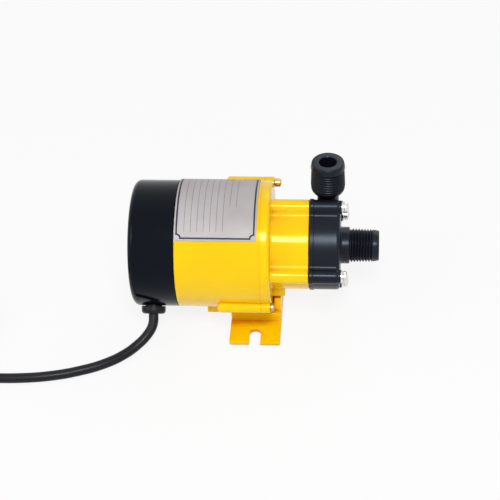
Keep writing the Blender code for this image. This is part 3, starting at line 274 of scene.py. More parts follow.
cover_gloss = make_black("black_gloss_moulding", (0.0006, 0.001, 0.0035), 0.08, 0.15, 0.0000015, 0.06, 0.15)
casing_satin = make_black("black_satin_moulding", (0.0055, 0.0055, 0.01), 0.24, 0.36, 0.000014, 0.5, 0.25)
inner_plastic = make_black("inner_plastic", (0.02, 0.02, 0.022), 0.35, 0.5, 0.000007, 0.4)

# %% [markdown]
# ## Rubber
# Lead, plug and strain relief are soft PVC. It is not as dark as the mouldings, and has no clear
# reflections. A fine grain breaks the highlight, and handling leaves paler dusty patches.

# %% Rubber
def make_rubber(name, colour, low, high):
    material, tree, shader, place = new_finish(name, low, Specular_IOR_Level=0.25)
    dusty = spread(tree, noise(tree, place, 90.0, 5.0), 0.5, 0.75, 0.0, 0.45)
    colour = mix(tree, dusty, colour, tuple(channel * 1.8 + 0.006 for channel in colour))
    grain = relief(tree, noise(tree, place, 1800.0, 3.0), 0.000012)
    link(tree, shader, colour, spread(tree, noise(tree, place, 300.0, 3.0), 0.3, 0.7, low, high), grain)
    return material


lead_rubber = make_rubber("lead_rubber", (0.004, 0.0045, 0.007), 0.3, 0.44)
seal_rubber = make_rubber("seal_rubber", (0.02, 0.02, 0.02), 0.5, 0.65)

# %% [markdown]
# ## Metals
# Zinc plated steel, brass, cast aluminium, copper and laminated iron differ in colour and in the
# marks that their making leaves. Turning leaves rings, rolling and grinding leave lines along one
# direction, and casting leaves grains. One recipe takes the colour, the direction in which the
# noise is drawn out and the depth of the marks.

# %% Metals
def make_metal(name, colour, low, high, marks, mark_scale, depth, tarnish=0.35):
    """Make a bare metal finish with marks drawn out along an axis."""
    material, tree, shader, place = new_finish(name, low, 1.0)
    dull = tuple(channel * 0.62 for channel in colour)
    stains = spread(tree, noise(tree, place, 350.0, 5.0), 0.45, 0.75, 0.0, tarnish)
    lines = noise(tree, place, mark_scale, 3.0, marks)
    rough = spread(tree, lines, 0.3, 0.7, low, high)
    bump = relief(tree, lines, depth, soft_edges(tree, 0.00015))
    link(tree, shader, mix(tree, stains, colour, dull), rough, bump)
    return material


EVEN = (1.0, 1.0, 1.0)
zinc = make_metal("zinc_plated_steel", (0.78, 0.77, 0.74), 0.16, 0.34, (0.3, 1.0, 1.0), 2200.0, 0.000006)
shaft_steel = make_metal("ground_steel", (0.62, 0.62, 0.63), 0.14, 0.26, (1.0, 0.2, 0.2), 3000.0, 0.000003)
brass = make_metal("yellow_brass", (0.6, 0.42, 0.17), 0.24, 0.42, (1.0, 0.3, 0.3), 2400.0, 0.000005)
cast_aluminium = make_metal("cast_aluminium", (0.71, 0.71, 0.73), 0.38, 0.55, EVEN, 1500.0, 0.00003)
lamination = make_metal("lamination_iron", (0.3, 0.31, 0.34), 0.35, 0.5, (8.0, 0.02, 0.02), 260.0, 0.00004)
copper_wire = make_metal("varnished_copper", (0.56, 0.2, 0.08), 0.22, 0.4, (1.0, 0.15, 0.15), 1300.0, 0.0001)

# %% [markdown]
# ## Ceramic, ferrite and carbon
# The spindle and thrust rings are polished alumina, the magnets are pressed and ground ferrite, and
# the impeller's bush is carbon. None of them shows from outside, but the model comes apart, so
# each still gets its colour, a fine grain and a change of gloss.

# %% Ceramic, ferrite and carbon
def make_mineral(name, colour, low, high, grain, depth):
    material, tree, shader, place = new_finish(name, low)
    cloud = spread(tree, noise(tree, place, 200.0, 4.0), 0.35, 0.7, 0.0, 0.4)
    colour = mix(tree, cloud, colour, tuple(channel * 0.8 for channel in colour))
    bump = relief(tree, noise(tree, place, grain, 3.0), depth, soft_edges(tree, 0.0002))
    link(tree, shader, colour, spread(tree, noise(tree, place, grain, 2.0), 0.3, 0.7, low, high), bump)
    return material


ceramic = make_mineral("white_ceramic", (0.86, 0.84, 0.79), 0.1, 0.2, 1200.0, 0.000002)
ferrite = make_mineral("ferrite_magnet", (0.045, 0.045, 0.05), 0.45, 0.65, 2200.0, 0.00002)
carbon = make_mineral("carbon_bush", (0.02, 0.02, 0.021), 0.4, 0.6, 2600.0, 0.00001)

# %% [markdown]
# ## Building solids
# The pump's outer pieces are turned, extruded or lofted shapes that run into each other. We make each
# shape in millimetres, weld and cut them with exact Booleans while they are still that large,
# and only then bring the mesh to metres. Small coordinates make Booleans slip, so the order matters.
# Each Boolean is applied at once and its tools are dropped, which leaves a plain clean mesh.

# %% Building solids
TURNED_SIDES = 160
FINE_SIDES = 48


def in_scene(name, data):
    """Make an object from its data and put it in the scene."""
    made = bpy.data.objects.new(name, data)
    bpy.context.scene.collection.objects.link(made)
    return made


def stood(along, at):
    """Give the move that turns X to a direction and then goes to a place."""
    turn = Vector((1, 0, 0)).rotation_difference(Vector(along)).to_matrix().to_4x4()
    return Matrix.Translation(at) @ turn


def solid(builder, at=(0.0, 0.0, 0.0), along=(1.0, 0.0, 0.0)):
    """Stand a shape with its X axis along a direction, in millimetres."""
    bmesh.ops.remove_doubles(builder, verts=builder.verts, dist=1e-4)
    bmesh.ops.recalc_face_normals(builder, faces=builder.faces)
    bmesh.ops.transform(builder, matrix=stood(along, at), verts=builder.verts)
    mesh = bpy.data.meshes.new("shape")
    builder.to_mesh(mesh)
    builder.free()
    return in_scene("shape", mesh)


def turned(profile, sides=TURNED_SIDES, at=None, along=(1, 0, 0)):
    """Turn a profile of (x, radius) points; a ring if neither end is on the axis."""
    builder = bmesh.new()
    points = [builder.verts.new((x, 0, r)) for x, r in profile]
    edges = [builder.edges.new(pair) for pair in zip(points, points[1:])]
    if profile[0][1] > 0 or profile[-1][1] > 0:
        edges.append(builder.edges.new((points[-1], points[0])))
    bmesh.ops.spin(builder, geom=points + edges, cent=(0, 0, 0), axis=(1, 0, 0), angle=math.tau,
                   steps=sides, use_merge=True)
    return solid(builder, AXIS_POINT if at is None else at, along)


def rod(low, high, radius, sides=FINE_SIDES, at=None, along=(1, 0, 0)):
    return turned([(low, 0), (low, radius), (high, radius), (high, 0)], sides, at, along)


def lofted(rings, at=(0, 0, 0), along=(1, 0, 0)):
    """Skin rings that all have the same number of (x, y, z) points, and close both ends."""
    builder = bmesh.new()
    rows = [[builder.verts.new(point) for point in ring] for ring in rings]
    for row, following in zip(rows, rows[1:]):
        for index in range(len(row)):
            after = (index + 1) % len(row)
            builder.faces.new((row[index], row[after], following[after], following[index]))
    builder.faces.new(rows[0][::-1])
    builder.faces.new(rows[-1])
    return solid(builder, at, along)


def soft_block(low, high, radius=0.4):
    """Make a block with rounded edges."""
    builder = bmesh.new()
    size = [b - a for a, b in zip(low, high)]
    bmesh.ops.create_cube(builder, size=1.0)
    for point in builder.verts:
        point.co = Vector([a + s * (c + 0.5) for a, s, c in zip(low, size, point.co)])
    bmesh.ops.bevel(builder, geom=list(builder.edges), offset=radius, segments=3, profile=0.5,
                    affect="EDGES")
    return solid(builder)


def combine(target, others, operation):
    """Weld or cut solids for good, and drop the tools."""
    group = bpy.data.collections.new("tools")
    for other in others:
        group.objects.link(other)
    step = target.modifiers.new("step", "BOOLEAN")
    step.operation = operation
    step.operand_type = "COLLECTION"
    step.collection = group
    bpy.context.view_layer.update()
    graph = bpy.context.evaluated_depsgraph_get()
    shaped = bpy.data.meshes.new_from_object(target.evaluated_get(graph))
    target.modifiers.clear()
    target.data = shaped
    for other in others:
        bpy.data.objects.remove(other)
    bpy.data.collections.remove(group)
    return target


def weld(target, *others):
    return combine(target, others, "UNION")


def carve(target, *others):
    return combine(target, others, "DIFFERENCE")


def finish(name, shape, material, stands_for=(), sharp=32):
    """Name a finished shape, bring it to metres, and hand it to the pump's fixed body."""
    shape.name = name
    shape.data.name = name
    shape.data.transform(Matrix.Scale(MM, 4))
    shape.data.materials.clear()
    shape.data.materials.append(material)
    shape.data.shade_smooth()
    shape.data.set_sharp_from_angle(angle=math.radians(sharp))
    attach(shape, "pump")
    if stands_for:
        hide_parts(*stands_for)
    print(name, "has", len(shape.data.polygons), "faces")
    return shape


def arc(centre, radius, start, end, steps):
    """List the points of an arc, angles in degrees, both ends included."""
    turns = [math.radians(start + (end - start) * step / steps) for step in range(steps + 1)]
    return [(centre[0] + radius * math.cos(t), centre[1] + radius * math.sin(t)) for t in turns]


def in_mm(node_name):
    """Read a CAD node's box in millimetres."""
    low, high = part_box(node_name)
    return low / MM, high / MM


def at_angle(angle, radius, x=0.0):
    """Give a place about the pump's axis, at an angle from straight up towards the viewer."""
    turn = math.radians(angle)
    return x, -radius * math.sin(turn), AXIS_Z + radius * math.cos(turn)


def about_axis(shape, turn):
    """Turn a shape about the pump's axis."""
    shape.data.transform(Matrix.Translation(AXIS_POINT) @ Matrix.Rotation(turn, 4, "X"))
    return shape


cover_low, cover_high = in_mm("rear_cover")
AXIS_Z = (cover_low.z + cover_high.z) / 2
AXIS_POINT = (0.0, 0.0, AXIS_Z)
MOTOR_R = (cover_high.y - cover_low.y) / 2
print("axis height", round(AXIS_Z, 2), "motor radius", round(MOTOR_R, 2))

# %% [markdown]
# ## Rear cover
# A deep moulded cup closes the motor's back end over the fan. Its rim is square, its back edge has
# a fillet that the gloss makes easy to see, and its back has a ring of air slots round the middle.
# Turning the whole wall in one closed profile gives smooth highlights, and the slots, screw pockets
# and gland hole are cut from it.

# %% Rear cover
COVER_WALL = 2.2
COVER_BACK_WALL = 3.2
COVER_FILLET = 4.0
VENT_COUNT = 12
VENT_MIDDLE_R = 14.7
VENT_HALF_LENGTH = 4.2
VENT_R = 1.3
SCREW_Y = MOTOR_R - 13.4
POCKET_DEPTH = 1.92
POCKET_R = 3.4
GLAND_ANGLE = 137.0
GAP = 0.3
gland_x = (in_mm("strain_relief")[0].x + in_mm("strain_relief")[1].x) / 2
gland_way = Vector(at_angle(GLAND_ANGLE, 1.0)) - Vector(AXIS_POINT)


def cover_body():
    back, front = cover_low.x, cover_high.x
    outer = arc((back + COVER_FILLET, MOTOR_R - COVER_FILLET), COVER_FILLET, 180, 90, 14)
    inner_r = MOTOR_R - COVER_WALL
    profile = [(back, 0), *outer, (front - 0.3, MOTOR_R), (front, MOTOR_R - 0.3), (front, inner_r)]
    corner = arc((back + COVER_BACK_WALL + 2, inner_r - 2), 2, 90, 180, 6)
    return turned([*profile, *corner, (back + COVER_BACK_WALL, 0)], 192)


def capsule_rings(half_length, radius, low, high, lift):
    """Give the rings of a round-ended slot cutter, lying along Z at a distance from the axis."""
    outline = arc((lift + half_length, 0), radius, -90, 90, 10)
    outline += arc((lift - half_length, 0), radius, 90, 270, 10)
    return [[(x, across, up) for up, across in outline] for x in (low, high)]


cover = cover_body()
back_x = cover_low.x
vents = []
for index in range(VENT_COUNT):
    vent = lofted(capsule_rings(VENT_HALF_LENGTH, VENT_R, back_x - 1, back_x + COVER_BACK_WALL + 1,
                                VENT_MIDDLE_R))
    vents.append(about_axis(vent, math.tau * (index + 0.5) / VENT_COUNT))
for side in (-1, 1):
    at = (0, side * SCREW_Y, AXIS_Z)
    vents.append(rod(back_x - 1, back_x + POCKET_DEPTH, POCKET_R, at=at))
    vents.append(rod(back_x, back_x + COVER_BACK_WALL + 1, 1.75, 24, at=at))
vents.append(rod(MOTOR_R - 8, MOTOR_R + 4, 5.5, at=(gland_x, 0, AXIS_Z), along=gland_way))
carve(cover, *vents)
finish("fan_cover", cover, cover_gloss, ["rear_cover"])

# %% [markdown]
# ## Motor housing
# The motor's body is a plain cast tube. Two round ribs run along it where the long bolts pass, and a
# flat pad below takes the foot. The ribs fade into the tube at the back with a rounded nose, so
# we turn them as rods with a domed end and weld them on.

# %% Motor housing
HOUSING_WALL = 3.8
RIB_R = 3.7
BOLT_ANGLES = (-58.0, 122.0)
BOLT_CIRCLE_R = MOTOR_R + 1.5
RIB_BACK_X = (-18.7, -20.9)
PEDESTAL_HALF_WIDTH = 18.3
PAD_BACK_X = -29.6
housing_low, housing_high = in_mm("motor_housing")
foot_low, foot_high = in_mm("foot")
SEAT_Z = housing_low.z
SEAM = 0.01


def rib(back, front):
    """Turn one bolt rib with a domed back end."""
    nose = arc((back + RIB_R * 0.6, 0), RIB_R, 180, 90, 10)
    nose = [(back + (x - back) * 0.6 + 0.24 * RIB_R, r) for x, r in nose]
    return [(nose[0][0], 0), *nose[1:], (front, RIB_R), (front, 0)]


def housing_body():
    back, front, inner = housing_low.x, housing_high.x - SEAM, MOTOR_R - HOUSING_WALL
    tube = turned([(back, inner), (back, MOTOR_R - 0.4), (back + 0.15, MOTOR_R - 0.1),
                   (back + 0.4, MOTOR_R), (front - 0.09, MOTOR_R), (front, MOTOR_R - 0.09),
                   (front, inner)], 192)
    pad = soft_block((PAD_BACK_X, -PEDESTAL_HALF_WIDTH, SEAT_Z),
                     (front - 0.2, PEDESTAL_HALF_WIDTH, SEAT_Z + 14), 0.6)
    ribs = [turned(rib(x, front - 0.02), FINE_SIDES, at_angle(angle, BOLT_CIRCLE_R))
            for angle, x in zip(BOLT_ANGLES, RIB_BACK_X)]
    weld(tube, pad, *ribs)
    return carve(tube, rod(back - 1, front + 1, inner, 192))


finish("motor_body", housing_body(), enamel, ["motor_housing"])

# %% [markdown]
# ## Bracket
# The bracket carries the wet end. Its round flange closes the motor, and its front is a drum with
# four lobes for the head screws. A drum, lobes and the hollows between them are arcs that touch
# each other, so one function draws that outline for any offset. The front casing uses it too,
# which is what makes the two castings line up.

# %% Lobed outline
CASING_R = 27.9
LOBE_R = 4.6
LOBE_CIRCLE_R = 30.2
LOBE_FILLET = 3.0


def lobed(grow=0.0):
    """Draw the drum with four screw lobes as (y, z) points, grown or shrunk by an offset."""
    body, lobe, fillet = CASING_R + grow, LOBE_R + grow, LOBE_FILLET - grow
    reach = body + fillet
    spread_by = math.degrees(math.acos((reach**2 + LOBE_CIRCLE_R**2 - (lobe + fillet) ** 2)
                                       / (2 * LOBE_CIRCLE_R * reach)))
    turn = math.radians(spread_by)
    valley = (reach * math.cos(turn), reach * math.sin(turn))
    opening = math.degrees(math.atan2(valley[1], valley[0] - LOBE_CIRCLE_R))
    other = (reach * math.cos(math.pi / 2 - turn), reach * math.sin(math.pi / 2 - turn))
    quarter = arc((LOBE_CIRCLE_R, 0), lobe, -opening, opening, 22)
    quarter += arc(valley, fillet, opening + 180, spread_by + 180, 8)[1:]
    quarter += arc((0, 0), body, spread_by, 90 - spread_by, 24)[1:]
    quarter += arc(other, fillet, 270 - spread_by, 270 - opening, 8)[1:-1]
    points = []
    for index in range(4):
        turn = Matrix.Rotation(math.tau * index / 4, 2)
        points += [tuple(turn @ Vector(point)) for point in quarter]
    return points


def lobed_drum(sections):
    """Skin the lobed outline through (x, offset) sections."""
    return lofted([[(x, y, z + AXIS_Z) for y, z in lobed(grow)] for x, grow in sections])


# %% Bracket
BRACKET_FRONT = in_mm("pump_bracket")[1].x
FLANGE_BACK = housing_high.x + GAP
FLANGE_FRONT = 12.1
FLANGE_EDGE = 2.0
BORE_R = 23.5
BEARING_SEAT_R = 11.3
SEAT_STEP_Z = AXIS_Z - 30.7
SEAT_FRONT = FLANGE_FRONT + 7.9
SEAT_HALF_WIDTH = 15.0


def bracket_body():
    edge = arc((FLANGE_FRONT - FLANGE_EDGE, MOTOR_R - FLANGE_EDGE), FLANGE_EDGE, 90, 0, 8)
    back = FLANGE_BACK + SEAM - 0.3
    flange = turned([(back, 0), (back, MOTOR_R - 0.09), (back + 0.09, MOTOR_R), *edge,
                     (FLANGE_FRONT, 0)], 192)
    drum = lobed_drum([(FLANGE_FRONT - 1, 0.5), (FLANGE_FRONT + 0.05, 0.5), (FLANGE_FRONT + 0.2, 0.25),
                       (FLANGE_FRONT + 0.5, 0), (BRACKET_FRONT - 0.25, 0), (BRACKET_FRONT, -0.25)])
    pad = soft_block((back + 0.3, -PEDESTAL_HALF_WIDTH, SEAT_Z),
                     (FLANGE_FRONT - 0.2, PEDESTAL_HALF_WIDTH, SEAT_Z + 14), 0.5)
    seat = soft_block((FLANGE_FRONT - 1, -SEAT_HALF_WIDTH, SEAT_STEP_Z),
                      (SEAT_FRONT, SEAT_HALF_WIDTH, SEAT_STEP_Z + 10.8), 0.8)
    hub = rod(2.0, back + 1, BEARING_SEAT_R + 2.7, 96)
    ribs = [rod(back + 0.02, FLANGE_FRONT - 0.15, RIB_R, at=at_angle(angle, BOLT_CIRCLE_R))
            for angle in BOLT_ANGLES]
    weld(flange, drum, pad, seat, hub, *ribs)
    under_seat = soft_block((FLANGE_FRONT + 0.1, -SEAT_HALF_WIDTH - 1, SEAT_STEP_Z - 9),
                            (SEAT_FRONT + 0.1, SEAT_HALF_WIDTH + 1, SEAT_STEP_Z + 0.05), 0.02)
    return carve(flange, under_seat, rod(FLANGE_FRONT + 0.1, BRACKET_FRONT + 1, BORE_R, 96),
                 rod(0, 9.6, BEARING_SEAT_R, 96), rod(9, FLANGE_FRONT + 0.5, 8.0, 96))


finish("wet_end_bracket", bracket_body(), enamel, ["pump_bracket"])

# %% [markdown]
# ## Foot
# The foot is a cast plate with an open slot at each side for the fixing screws, a low pedestal
# under the motor and a web that reaches up in front to steady the bracket. The plate's outline runs
# round its slots, so it is lofted with a small offset at each face to soften the edges.

# %% Foot
SLOT_R = 3.5
SLOT_CENTRE_Y = 29.3
PLATE_CORNER = 0.9
PEDESTAL_TOP = SEAT_Z - GAP
WEB_THICK = 4.4
WEB_CLEARANCE = 1.7
FOOT_BOLT_X = (-9.0, 9.3)


def plate_outline(grow):
    """Draw the plate and its two open slots as (x, y) points about the foot's middle."""
    half_x, half_y = (foot_high.x - foot_low.x) / 2 + grow, foot_high.y + grow
    radius, corner = SLOT_R - grow, PLATE_CORNER
    side = [(radius, half_y)]
    side += arc((half_x - corner, half_y - corner), corner, 90, 0, 5)
    side += [(x, -y) for x, y in arc((half_x - corner, half_y - corner), corner, 90, 0, 5)[::-1]]
    side += [(radius, -half_y)]
    side += arc((0, -SLOT_CENTRE_Y), radius, 0, 180, 16)
    return side + [(-x, -y) for x, y in side]


def foot_body():
    middle = (foot_low.x + foot_high.x) / 2
    soft = 0.35
    thick = 3.1
    sections = [(0, -soft), (0.1, -0.1), (soft, 0), (thick - soft, 0), (thick - 0.1, -0.1), (thick, -soft)]
    plate = lofted([[(middle + x, y, z) for x, y in plate_outline(grow)] for z, grow in sections])
    front = foot_high.x - 0.2
    pedestal = soft_block((foot_low.x + 0.2, -PEDESTAL_HALF_WIDTH, 1.5),
                          (front, PEDESTAL_HALF_WIDTH, PEDESTAL_TOP), 0.4)
    web = soft_block((front - WEB_THICK, 0.2 - SEAT_HALF_WIDTH, PEDESTAL_TOP - 2),
                     (front - 0.1, SEAT_HALF_WIDTH - 0.2, SEAT_STEP_Z - WEB_CLEARANCE), 0.5)
    weld(plate, pedestal, web)
    holes = []
    for x in FOOT_BOLT_X:
        holes.append(rod(-1, PEDESTAL_TOP + 1, 2.0, 24, (x, 0, 0), (0, 0, 1)))
        holes.append(rod(-1, 2.9, 3.8, 40, (x, 0, 0), (0, 0, 1)))
    return carve(plate, *holes)


finish("slotted_foot", foot_body(), enamel, ["foot"])

# %% [markdown]
# ## Pipe threads
# Both ports end in a male pipe thread. A stack of rings would look like a thread from afar, but a real
# one climbs, and the eye catches that where the ridge starts and ends. We build a tube whose radius
# follows a sloping ridge: its rows of points climb with the helix, so the crest stays crisp, and
# rows that would pass an end of the thread are held there and merge.

# %% Pipe threads
THREAD_PITCH = 1.814
THREAD_TURNS = 8
THREAD_CREST_R = 10.7
THREAD_DEPTH = 1.15
THREAD_TAPER = 0.06
THREAD_SIDES = 96
ROWS_PER_TURN = 8
PORT_BORE_R = 5.4
PORT_END_R = 9.4
PORT_END_LENGTH = 3.6


def threaded_rod(start, at, along):
    """Build the threaded stretch of a port as a closed rod with a climbing ridge."""
    builder = bmesh.new()
    end = start + THREAD_PITCH * THREAD_TURNS
    rows = ROWS_PER_TURN * (THREAD_TURNS + 2)
    columns = []
    for side in range(THREAD_SIDES + 1):
        angle = math.tau * side / THREAD_SIDES
        column = []
        for row in range(rows + 1):
            phase = row / ROWS_PER_TURN - 1
            x = start + THREAD_PITCH * (phase + side / THREAD_SIDES - 0.5)
            ridge = 1 - abs(2 * (phase % 1) - 1)
            ridge = min(max(1.35 * ridge - 0.12, 0), 1)
            fade = min(max(min(x - start, end - x) / THREAD_PITCH / 0.45, 0), 1)
            crest = THREAD_CREST_R - THREAD_TAPER * (x - start) / THREAD_PITCH
            radius = crest - THREAD_DEPTH * (1 - ridge * fade)
            x = min(max(x, start), end)
            column.append(builder.verts.new((x, radius * math.sin(angle), radius * math.cos(angle))))
        columns.append(column)
    for first, second in zip(columns, columns[1:]):
        for row in range(rows):
            builder.faces.new((first[row], second[row], second[row + 1], first[row + 1]))
    bmesh.ops.remove_doubles(builder, verts=builder.verts, dist=2e-3)
    bmesh.ops.dissolve_degenerate(builder, edges=builder.edges, dist=2e-3)
    open_edges = [edge for edge in builder.edges if edge.is_boundary]
    bmesh.ops.holes_fill(builder, edges=open_edges, sides=0)
    return solid(builder, at, along)


# %% [markdown]
# ## Front casing
# The pumping chamber is one black moulding: the lobed drum with a rim where it meets the bracket, a boss
# under each head screw, the inlet on the axis and the outlet standing up on the far side.
# Turned and lofted shapes are welded to the drum first and the hollow is cut last, because a port
# that was welded on afterwards would close the bore again.

# %% Front casing
casing_low, casing_high = in_mm("front_casing")
RIM_THICK = 2.6
RIM_STEP = 0.5
FACE_X = 54.7
FACE_EDGE = 2.2
BOSS_R = 4.2
BOSS_FRONT_X = 55.4
CHAMBER_R = 21.0
CHAMBER_BACK_X = casing_low.x + 3.3
CHAMBER_FRONT_X = CHAMBER_BACK_X + 10.3
THROAT_R = 9.0
SPIDER_BACK_X = CHAMBER_FRONT_X + 0.5
SPIDER_FRONT_X = SPIDER_BACK_X + 4.9
INLET_NECK_R = 11.5
INLET_NECK_END = FACE_X + 5.7
OUTLET_PLACE = (46.6, 16.0)
OUTLET_NECK_R = 6.7
OUTLET_NECK_BORE_R = 4.4
OUTLET_SHOULDER_Z = 30.5
OUTLET_SHOULDER_HEIGHT = 4.0
OUTLET_MOUTH_DEPTH = 12.0
LOBE_ANGLES = (0.0, 90.0, 180.0, 270.0)


def port_end(start, radius, lip_r):
    """Turn the smooth last stretch of a port, which tapers from its thread to a rounded rim."""
    end = start + PORT_END_LENGTH
    lip = arc((end - lip_r, radius - lip_r), lip_r, 80, 0, 6)
    return [(start - 1, 0), (start - 1, radius - 0.4), (start - 0.6, radius + 0.4),
            (start + 0.2, min(radius + 0.6, THREAD_CREST_R - 0.1)), *lip, (end, 0)]


def drum_with_rim():
    back = casing_low.x
    face = [(FACE_X - FACE_EDGE + FACE_EDGE * math.sin(math.radians(turn)),
             -FACE_EDGE * (1 - math.cos(math.radians(turn)))) for turn in range(0, 91, 15)]
    drum = lobed_drum([(back + RIM_THICK - 0.6, 0), *face])
    soft = 0.25
    rim = lobed_drum([(back, RIM_STEP - soft), (back + soft, RIM_STEP),
                      (back + RIM_THICK - soft, RIM_STEP), (back + RIM_THICK, RIM_STEP - soft)])
    return weld(drum, rim)


def inlet_shapes():
    neck = [(FACE_X - 2, 0), (FACE_X - 2, INLET_NECK_R + 1), (FACE_X, INLET_NECK_R + 1)]
    neck += arc((FACE_X + 1.2, INLET_NECK_R + 1.2), 1.2, 200, 270, 6)
    neck += arc((INLET_NECK_END - 0.6, INLET_NECK_R - 0.6), 0.6, 90, 0, 5)
    neck += [(INLET_NECK_END, THREAD_CREST_R - THREAD_DEPTH - 0.3),
             (INLET_NECK_END + 1, THREAD_CREST_R - THREAD_DEPTH - 0.3), (INLET_NECK_END + 1, 0)]
    thread = threaded_rod(INLET_NECK_END + 0.2, AXIS_POINT, (1, 0, 0))
    end = turned(port_end(INLET_NECK_END + 0.2 + THREAD_PITCH * THREAD_TURNS, PORT_END_R, 0.4), 96)
    return [turned(neck, 96), thread, end]


def outlet_shapes(at):
    up = (0, 0, 1)
    top = OUTLET_SHOULDER_Z + OUTLET_SHOULDER_HEIGHT
    belly = arc((0, 0), 1, -90, 0, 10)
    reach = THREAD_CREST_R - 0.2 - OUTLET_NECK_R
    neck = [(9.3, 0), (9.3, OUTLET_NECK_R)]
    neck += [(top + z * OUTLET_SHOULDER_HEIGHT, OUTLET_NECK_R + y * reach) for y, z in belly]
    neck += [(top + 0.5, THREAD_CREST_R - 0.3), (top + 0.6, THREAD_CREST_R - THREAD_DEPTH - 0.2),
             (top + 1.5, THREAD_CREST_R - THREAD_DEPTH - 0.2), (top + 1.5, 0)]
    thread = threaded_rod(top + 0.3, at, up)
    end = turned(port_end(top + 0.3 + THREAD_PITCH * THREAD_TURNS, PORT_END_R + 0.7, 0.9), 96, at, up)
    return [turned(neck, 96, at, up), thread, end]


def casing_cutters(at):
    up = (0, 0, 1)
    top = casing_high.z - AXIS_Z
    inlet_end = casing_high.x
    throat = [(CHAMBER_BACK_X + 2, 0), (CHAMBER_BACK_X + 2, THROAT_R),
              (SPIDER_FRONT_X + 1.5, THROAT_R), (SPIDER_FRONT_X + 5, PORT_BORE_R),
              (inlet_end - 0.4, PORT_BORE_R), (inlet_end + 0.2, PORT_BORE_R + 0.6), (inlet_end + 0.5, 0)]
    mouth = [(top - OUTLET_MOUTH_DEPTH, 0), (top - OUTLET_MOUTH_DEPTH, PORT_BORE_R),
             (top - 0.4, PORT_BORE_R), (top + 0.2, PORT_BORE_R + 0.6), (top + 0.5, 0)]
    cutters = [rod(casing_low.x - 1, CHAMBER_BACK_X, 24.8, 96),
               rod(casing_low.x - 1, CHAMBER_FRONT_X, CHAMBER_R, 96),
               turned(throat, 96), turned(mouth, 96, at, up),
               rod(4, top, OUTLET_NECK_BORE_R, 48, at, up)]
    for angle in LOBE_ANGLES:
        cutters.append(rod(casing_low.x - 1, BOSS_FRONT_X + 1, 2.0, 24, at_angle(angle, LOBE_CIRCLE_R)))
    return cutters


def spider_shapes():
    """Make the hub that holds the spindle and its three ribs across the throat."""
    pocket = SPIDER_FRONT_X - 1.6
    hub = turned([(pocket, 0), (pocket, 3.3), (SPIDER_BACK_X, 3.3), (SPIDER_BACK_X, 4.8),
                  (SPIDER_FRONT_X - 0.5, 4.8), (SPIDER_FRONT_X, 4.3), (SPIDER_FRONT_X + 0.9, 2.0),
                  (SPIDER_FRONT_X + 1.1, 0)], 64)
    ribs = []
    for index in range(3):
        one = soft_block((SPIDER_BACK_X + 0.6, -0.8, 4.0), (SPIDER_FRONT_X - 0.4, 0.8, THROAT_R + 0.7), 0.2)
        ribs.append(about_axis(one, math.tau * index / 3))
    return [hub, *ribs]


outlet_at = (OUTLET_PLACE[0], OUTLET_PLACE[1], AXIS_Z)
casing = drum_with_rim()
bosses = [turned([(FACE_X - 3, 0), (FACE_X - 3, BOSS_R), (BOSS_FRONT_X - 0.3, BOSS_R),
                  (BOSS_FRONT_X, BOSS_R - 0.3), (BOSS_FRONT_X, 0)], FINE_SIDES,
                 at_angle(angle, LOBE_CIRCLE_R))
          for angle in LOBE_ANGLES]
weld(casing, *bosses, *inlet_shapes())
weld(casing, *outlet_shapes(outlet_at))
carve(casing, *casing_cutters(outlet_at))
weld(casing, *spider_shapes())
finish("wet_end_casing", casing, casing_satin, ["front_casing"])

# %% [markdown]
# ## Fasteners
# Four zinc plated pan head screws with cross recesses pull the wet end together, each over a split
# spring washer and a flat washer. Two brass bolts with slotted cheese heads hold the bracket to the
# motor. A screw is a turned profile with its recess cut out, so one function serves them all
# and takes the dome, the recess and the sizes.

# %% Fasteners
# Each screw is its head's radius and height, its shank's radius and length, and its dome, in mm
PAN_SCREW = (3.5, 2.6, 1.7, 30.0, 1.6)
FOOT_BOLT = (3.5, 2.3, 1.7, 11.5, 1.2)
COVER_BOLT = (3.1, 1.32, 1.45, 15.0, 0.8)
CHEESE_HEADS = (("upper", 4.2), ("lower", 2.4))
CROSS_TURN = 20
SLOT_TURN = 35
THREAD_STEP = 0.7
HEAD_NAMES = ("top", "near", "bottom", "far")


def stroke(top, floor, turn):
    """Make one stroke of a recess from its (x, half length, width) above the head and at its floor."""
    wedge = lofted([[(x, -long, -wide / 2), (x, long, -wide / 2), (x, long, wide / 2), (x, -long, wide / 2)]
                    for x, long, wide in (top, floor)])
    wedge.data.transform(Matrix.Rotation(math.radians(turn), 4, "X"))
    return wedge


def cross_recess(width, reach, depth):
    """Make the two crossed wedges that cut a cross recess, pointing along X from the head's top."""
    return [stroke((-0.5, reach * 1.1, width), (depth, reach * 0.55, width * 0.7), turn)
            for turn in (CROSS_TURN, CROSS_TURN + 90)]


def slot_recess(width, reach, depth):
    return [stroke((-0.5, reach, width), (depth, reach, width), SLOT_TURN)]


def headed_screw(seat, along, head_r, head_height, shank_r, length, dome, recess):
    """Build a screw with its head above the seat and its shank along a direction."""
    crown = [(-head_height + dome * (1 - math.cos(math.radians(t))), head_r * math.sin(math.radians(t)))
             for t in range(0, 91, 10)]
    profile = [*crown, (-0.15, head_r), (0, head_r - 0.15), (0, shank_r)]
    at = 0.0
    while at < length - 1:
        profile += [(at + 0.12, shank_r), (at + 0.35, shank_r - 0.22), (at + 0.58, shank_r)]
        at += THREAD_STEP
    profile += [(length - 0.4, shank_r), (length, shank_r - 0.4), (length, 0)]
    made = turned(profile, 40, (0, 0, 0))
    for tool in recess:
        tool.data.transform(Matrix.Translation((-head_height, 0, 0)))
    carve(made, *recess)
    made.data.transform(stood(along, seat))
    return made


